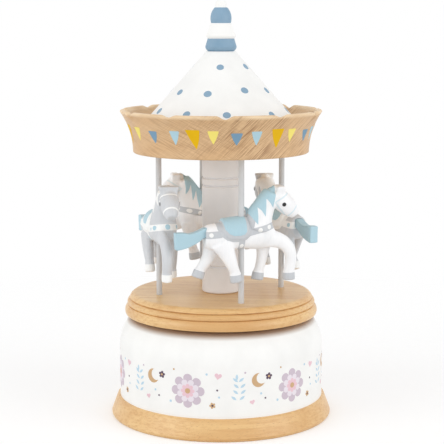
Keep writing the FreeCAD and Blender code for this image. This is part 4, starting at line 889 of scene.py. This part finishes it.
class Film:
    """Thin printed or painted shapes on a turned surface, each at its degrees round and its level."""

    def __init__(self, radius_at, sizes):
        self.radius_at = radius_at
        self.sizes = sizes
        self.bm = bmesh.new()

    def slope(self, level):
        """How fast the surface widens upwards."""
        step = 0.05 * MM
        return (self.radius_at(level + step) - self.radius_at(level - step)) / (2 * step)

    def lay(self, outline, degrees, level, ink, tilt=0.0, layers=1):
        """Cut an outline, given in millimetres, out of layers of film and lay it on the surface."""
        flat = bmesh.new()
        spin = Matrix.Rotation(math.radians(tilt), 3, "Z")
        face = flat.faces.new([flat.verts.new(spin @ Vector((x * MM, y * MM, 0))) for x, y in outline])
        face.material_index = ink
        face.normal_update()
        bmesh.ops.triangulate(flat, faces=flat.faces)
        reach = max(abs(vert.co.x) for vert in flat.verts)
        cuts = int(reach / self.sizes.film_cut)
        for number in range(-cuts, cuts + 1):
            bmesh.ops.bisect_plane(
                flat, geom=flat.verts[:] + flat.edges[:] + flat.faces[:],
                plane_co=(number * self.sizes.film_cut, 0, 0), plane_no=(1, 0, 0))
        raised = bmesh.ops.extrude_face_region(flat, geom=flat.faces[:], use_keep_orig=True)["geom"]
        tops = {part for part in raised if isinstance(part, bmesh.types.BMVert)}
        climb = 1 / math.sqrt(1 + self.slope(level) ** 2)
        for vert in flat.verts:
            height = self.sizes.film * layers if vert in tops else -self.sizes.film_sink
            turn = math.radians(degrees) + vert.co.x / self.radius_at(level)
            z = level + vert.co.y * climb
            slope = self.slope(z)
            lean = math.hypot(1, slope)
            radius = self.radius_at(z) + height / lean
            vert.co = (radius * math.sin(turn), -radius * math.cos(turn), z - height * slope / lean)
        bmesh.ops.recalc_face_normals(flat, faces=flat.faces)
        sheet = bpy.data.meshes.new("film")
        flat.to_mesh(sheet)
        flat.free()
        self.bm.from_mesh(sheet)
        bpy.data.meshes.remove(sheet)


def all_round(seen, count):
    """The places seen from the front, then even ones behind up to a count: degrees and another measure."""
    left = count - len(seen)
    first, last = seen[0][0] + 360, seen[-1][0]
    pitch = (first - last) / (left + 1)
    return seen + tuple((last + pitch * (number + 1), seen[0][1]) for number in range(left))


# The pennants seen from the front: degrees round and lean of the tip
FRONT_PENNANTS = (
    (-60.5, 0), (-45.0, 7), (-28.4, 0), (-16.8, 9), (-4.5, 0), (9.3, 1), (21.4, 3), (35.4, 3), (46.8, 0),
    (62.2, 5), (74.0, 0),
)


class PaintBunting(Step, bpy.types.Operator):
    """Paint the row of pennants on the rim"""

    bl_idname = "carousel.paint_bunting"
    bl_label = "Paint bunting"

    def make(self, paints, sizes):
        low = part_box("canopy_rim")[0].z
        film = Film(lambda z: flared(sizes.rim_radius, sizes.rim_flare, sizes.rim_height, z - low), sizes)
        # Name and colour of the paint, width, drop, and level of the top edge above the rim's foot
        kinds = (
            ("yellow_pennant", paints.yellow, 5.5, 7.1, 13.8),
            ("blue_pennant", paints.pennant_blue, 5.8, 6.4, 12.7),
            ("light_pennant", paints.light_blue, 5.5, 7.4, 13.4),
            ("orange_pennant", paints.orange, 7.2, 10.2, 14.2),
        )
        for number, (turn, lean) in enumerate(all_round(FRONT_PENNANTS, sizes.pennants)):
            ink = number % len(kinds)
            width, drop, top = kinds[ink][2:]
            outline = pennant(width, drop, math.radians(lean), sizes.pennant_round / MM)
            film.lay(outline, turn, low + top * MM, ink)
        inks = [painted(name, tone, 0.55, gloss=0.15) for name, tone, *_ in kinds]
        new_piece("bunting_paint", film.bm, "canopy_rim", inks)


# Rows of dabbed roof dots: how many go round, then degrees and level of those seen from the front
ROOF_DOTS = (
    (4, ((-1.5, 173.3), (62.0, 173.4))),
    (9, ((-54.5, 161.4), (-14.9, 161.1), (29.1, 162.6), (69.0, 162.0))),
    (10, ((-67.0, 152.3), (-29.7, 151.8), (4.8, 151.7), (46.9, 151.3))),
)

# How much wider than high a dab is, by what share dabs differ, how many degrees they tilt, and their seed
DOT_STRETCH, DOT_VARIES, DOT_TILT = 1.06, 0.06, 12
DOT_SEED = 3


class PaintRoof(Step, bpy.types.Operator):
    """Paint the roof and its dots"""

    bl_idname = "carousel.paint_roof"
    bl_label = "Paint roof"

    def make(self, paints, sizes):
        low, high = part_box("roof_cone")
        eaves = low.z + sizes.roof_skirt
        narrowing = (high.x - sizes.roof_neck) / (high.z - eaves)
        film = Film(lambda z: high.x - (z - eaves) * narrowing, sizes)
        chance = random.Random(DOT_SEED)
        for count, seen in ROOF_DOTS:
            for turn, level in all_round(seen, count):
                grow = 1 + chance.uniform(-DOT_VARIES, DOT_VARIES)
                spot = [(x * DOT_STRETCH * grow, y * grow) for x, y in disc(sizes.dot_radius / MM)]
                film.lay(spot, turn, level * MM, 0, chance.uniform(-DOT_TILT, DOT_TILT))
        dot_paint = painted("dot_paint", paints.steel_blue)
        new_piece("roof_dots", film.bm, "roof_cone", [dot_paint])
        finish_node("roof_cone", painted("roof_paint", paints.white, 0.55))


# Print on the drum: how many like panels go round, and where the first starts, in degrees from the front
PANELS = 6
FIRST_PANEL = -30

# Sprig in each panel: its height, degrees round and level, and the length of a leaf
SPRIG_HEIGHT, SPRIG_TURN, SPRIG_LEVEL, LEAF_LENGTH = 13.5, 38.5, 23.4, 3.1

# Level on the drum's shoulder from which the painted shade under the platform starts
DRUM_SHADE_FROM = 46.85 * MM


class PrintDrum(Step, bpy.types.Operator):
    """Paint the drum white and print its nursery motifs"""

    bl_idname = "carousel.print_drum"
    bl_label = "Print drum"

    def make(self, paints, sizes):
        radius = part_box("base_drum")[1].x
        film = Film(lambda z: radius, sizes)
        inks = ("aubergine", "gold", "pink", "lilac", "pale_blue", "pale_lilac")
        # One panel of the print: motif, size, degrees round, level, ink, tilt in degrees, layers of film
        panel = (
            (rosette, 8.2, 12.0, 23.2, "lilac", 0, 1), (rosette, 5.6, 12.0, 23.2, "pale_lilac", 22.5, 2),
            (rosette, 3.4, 12.0, 23.2, "pink", 0, 3), (disc, 1.3, 12.0, 23.2, "gold", 0, 4),
            (crescent, 6.8, 50.5, 28.2, "gold", 28, 1),
            (heart, 3.4, 28.5, 30.8, "pink", -10, 1), (heart, 2.5, 47.0, 17.8, "pink", 14, 1),
            (daisy, 1.75, -3.5, 29.6, "aubergine", 10, 1), (disc, 0.55, -3.5, 29.6, "gold", 0, 2),
            (daisy, 1.5, 25.5, 16.6, "gold", 40, 1), (disc, 0.5, 25.5, 16.6, "aubergine", 0, 2),
            (disc, 0.55, 22.4, 31.6, "pale_blue", 0, 1), (disc, 0.6, 2.0, 17.4, "pale_blue", 0, 1),
            (disc, 0.45, 4.0, 33.0, "gold", 0, 1), (disc, 0.5, 43.0, 32.2, "lilac", 0, 1),
            (disc, 0.55, 52.0, 21.6, "pale_blue", 0, 1), (disc, 0.45, 54.5, 19.2, "aubergine", 0, 1),
            (disc, 0.45, 28.0, 24.0, "aubergine", 0, 1), (disc, 0.5, 29.0, 20.6, "pale_blue", 0, 1),
        )
        for number in range(PANELS):
            start = 360 * number / PANELS + FIRST_PANEL
            for motif, size, degrees, level, ink, tilt, layers in panel:
                film.lay(motif(size), start + degrees, level * MM, inks.index(ink), tilt, layers)
            for across, up, way in sprig(SPRIG_HEIGHT):
                degrees = start + SPRIG_TURN + math.degrees(across * MM / radius)
                film.lay(leaf(LEAF_LENGTH), degrees, (SPRIG_LEVEL + up) * MM, inks.index("pale_blue"), way)
        materials = [painted(f"{ink}_ink", getattr(paints, ink), 0.55) for ink in inks]
        new_piece("drum_print", film.bm, "base_drum", materials)
        # The drum's paint carries painted shade on its shoulder under the platform
        finish_node("base_drum", painted("drum_paint", paints.white, shade_from=DRUM_SHADE_FROM))


# Blue bands of the finial: their lower and upper levels above the roof's top, in millimetres, and their edge
FINIAL_BANDS = ((-8.0, 6.1), (13.6, 21.1))
BAND_EDGE = 0.05 * MM


class TurnWood(bpy.types.Operator):
    """Finish the plain pieces: plinth, platform, ceiling, bottom cover, column, finial and poles"""

    bl_idname = "carousel.turn_wood"
    bl_label = "Turn wood"

    def execute(self, context):
        paints = context.scene.carousel_paints
        finish_node("base_plinth", beech("plinth_beech", paints.beech, (0, 0, 8)))
        # The platform's beech gets painted shade towards its foot
        platform_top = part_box("platform")[1].z
        finish_node("platform", beech("platform_beech", paints.beech, (0, 1, -6), platform_top))
        finish_node("canopy_ceiling", beech("ceiling_beech", paints.beech, (0, 0, 64)))
        finish_node("bottom_cover", beech("cover_board", paints.beech_dark, (0, 0, 30)))
        finish_node("column", painted("column_paint", paints.pale_grey))
        finish_node("finial", self.banded(paints))
        pole = painted("pole_paint", paints.pole_grey, 0.35, 0.1)
        for side in SIDES:
            finish_node(f"pole_{side}", pole)
        return {"FINISHED"}

    def banded(self, paints):
        """Paint of the finial: steel blue beads with white between and above."""
        roof_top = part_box("roof_cone")[1].z
        finish = Finish("finial_paint", 0.5)
        level = finish.along("Z")
        clouds = finish.grain((0.008, 0.008, 0.01), detail=3.0)
        blue = finish.mix(finish.spread(clouds, 0.35, 0.7), paints.steel_blue, paints.pennant_blue)
        tone = paints.white
        for band in FINIAL_BANDS:
            low, high = (roof_top + height * MM for height in band)
            over = finish.spread(level, low - BAND_EDGE, low + BAND_EDGE)
            under = finish.spread(level, high + BAND_EDGE, high - BAND_EDGE)
            tone = finish.mix(finish.times(over, under), tone, blue)
        finish.surface("Base Color", tone)
        finish.relief(finish.grain(BRUSHED, detail=3.0), SKIN_DEPTH)
        return finish.material


class FinishMovement(bpy.types.Operator):
    """Finish the metal and plastic pieces of the music movement"""

    bl_idname = "carousel.finish_movement"
    bl_label = "Finish movement"

    def execute(self, context):
        finishes = {
            "movement_brass": metal("brass", paint(208, 172, 104), 0.3),
            "movement_steel": metal("bright_steel", paint(190, 190, 192), 0.28),
            "movement_casting": metal("cast_metal", paint(176, 177, 180), 0.45),
            "screw_steel": metal("plated_steel", paint(198, 198, 196), 0.3),
            "spring_steel": metal("blued_steel", paint(92, 104, 132), 0.3),
            "washer_plastic": painted("nylon", paint(226, 222, 210), 0.4),
            "fan_plastic": painted("fan_plastic", paint(66, 66, 68), 0.4),
        }
        for part in frame["record"]["subparts"]:
            if part["material_slot"] in finishes:
                finish_node(part["node"], finishes[part["material_slot"]])
        return {"FINISHED"}


# Lamps, in metres: how far to the side, in front and up, how wide, and the level that they point at
LAMP_SIDE, LAMP_FRONT, LAMP_LEVEL = 1.12, 0.68, 0.42
LAMP_SIZE, LAMP_AIM = 0.9, 0.1
WHITE_LIGHT = (1, 1, 1, 1)

# How far the floor lies below the foot, and where it starts to fade and has faded out, as shares of its reach
FLOOR_SINK = 0.1 * MM
FLOOR_FADE = (0.35, 0.98)


class SetStage(bpy.types.Operator):
    """Set up the floor, the sky, the lamps and the camera"""

    bl_idname = "carousel.set_stage"
    bl_label = "Set stage"

    def execute(self, context):
        studio = context.scene.carousel_studio
        self.floor(studio)
        self.sky(studio)
        for side, name in ((-1, "left"), (1, "right")):
            light = bpy.data.lights.new(f"{name}_lamp", "AREA")
            light.size = LAMP_SIZE
            light.energy = getattr(studio, f"{name}_power")
            lamp = new_object(f"{name}_lamp", light)
            lamp.location = (side * LAMP_SIDE, -LAMP_FRONT, LAMP_LEVEL)
            way = Vector((0, 0, LAMP_AIM)) - lamp.location
            lamp.rotation_euler = way.to_track_quat("-Z", "Y").to_euler()
        view = bpy.data.cameras.new("photo_view")
        view.lens = studio.focal
        view.sensor_width = 36.0
        camera = new_object("photo_view", view)
        camera.location = (studio.camera_side, -studio.camera_back, studio.camera_level)
        camera.rotation_euler = (math.pi / 2 - studio.camera_tilt, 0, 0)
        context.scene.camera = camera
        context.scene.view_settings.view_transform = "Standard"
        return {"FINISHED"}

    def sky(self, studio):
        """Even white light, behind a white background."""
        world = bpy.data.worlds.new("studio")
        world.use_nodes = True
        nodes = Nodes(world.node_tree)
        light = nodes.tree.nodes["Background"]
        nodes.feed(light.inputs["Color"], WHITE_LIGHT)
        nodes.feed(light.inputs["Strength"], studio.sky)
        backdrop = nodes.add("Background", {"Color": WHITE_LIGHT})
        mix = nodes.add("MixShader", {0: nodes.seen(), 1: light.outputs[0], 2: backdrop.outputs[0]})
        nodes.feed(nodes.tree.nodes["World Output"].inputs["Surface"], mix.outputs[0])
        bpy.context.scene.world = world

    def floor(self, studio):
        """Pale floor that keeps the shadow and fades out into the white background."""
        bm = bmesh.new()
        bmesh.ops.create_circle(bm, cap_ends=True, segments=96, radius=studio.floor_reach)
        mesh = bpy.data.meshes.new("floor")
        bm.to_mesh(mesh)
        bm.free()
        floor = new_object("floor", mesh)
        floor.location.z = -FLOOR_SINK
        finish = Finish("floor_paint", 0.9)
        finish.surface("Base Color", (studio.floor_pale,) * 3 + (1,))
        finish.surface("Specular IOR Level", 0)
        glow = finish.spread(finish.seen(), 0, 1, 0, studio.floor_glow)
        white = finish.add("Emission", {"Color": WHITE_LIGHT, "Strength": glow}).outputs[0]
        pale = finish.add("AddShader", {0: finish.shader.outputs[0], 1: white}).outputs[0]
        clear = finish.add("BsdfTransparent").outputs[0]
        distance = finish.add("VectorMath", {"Vector": finish.place()}, operation="LENGTH").outputs["Value"]
        share = finish.spread(distance, *(studio.floor_reach * part for part in FLOOR_FADE))
        fade = finish.add("MixShader", {0: share, 1: pale, 2: clear}).outputs[0]
        finish.feed(finish.tree.nodes["Material Output"].inputs["Surface"], fade)
        mesh.materials.append(finish.material)


# The steps in the order in which they run
OPERATORS = (
    TurnWood, FinishMovement, CarveHorses, ShapeTails, TurnRim, PaintBunting, PaintRoof, PrintDrum, SetStage,
)


class CarouselPanel(bpy.types.Panel):
    """Lists the steps that finish the carousel and what they can be given"""

    bl_idname = "VIEW3D_PT_carousel"
    bl_label = "Carousel music box"
    bl_space_type = "VIEW_3D"
    bl_region_type = "UI"
    bl_category = "Carousel"

    def draw(self, context):
        for operator in OPERATORS:
            self.layout.operator(operator.bl_idname)
        for group, kind in GROUPS.items():
            box = self.layout.box()
            for name in kind.__annotations__:
                box.prop(getattr(context.scene, group), name)


GROUPS = {
    "carousel_paints": CarouselPaints, "carousel_sizes": CarouselSizes, "carousel_studio": StudioSettings,
}


def register():
    for kind in (*GROUPS.values(), *OPERATORS, CarouselPanel):
        bpy.utils.register_class(kind)
    for name, kind in GROUPS.items():
        setattr(bpy.types.Scene, name, PointerProperty(type=kind))


def unregister():
    for name in GROUPS:
        delattr(bpy.types.Scene, name)
    for kind in reversed((*GROUPS.values(), *OPERATORS, CarouselPanel)):
        bpy.utils.unregister_class(kind)


def main():
    """Run every step."""
    register()
    for operator in OPERATORS:
        getattr(bpy.ops.carousel, operator.bl_idname.partition(".")[2])()


if __name__ == "__main__":
    main()
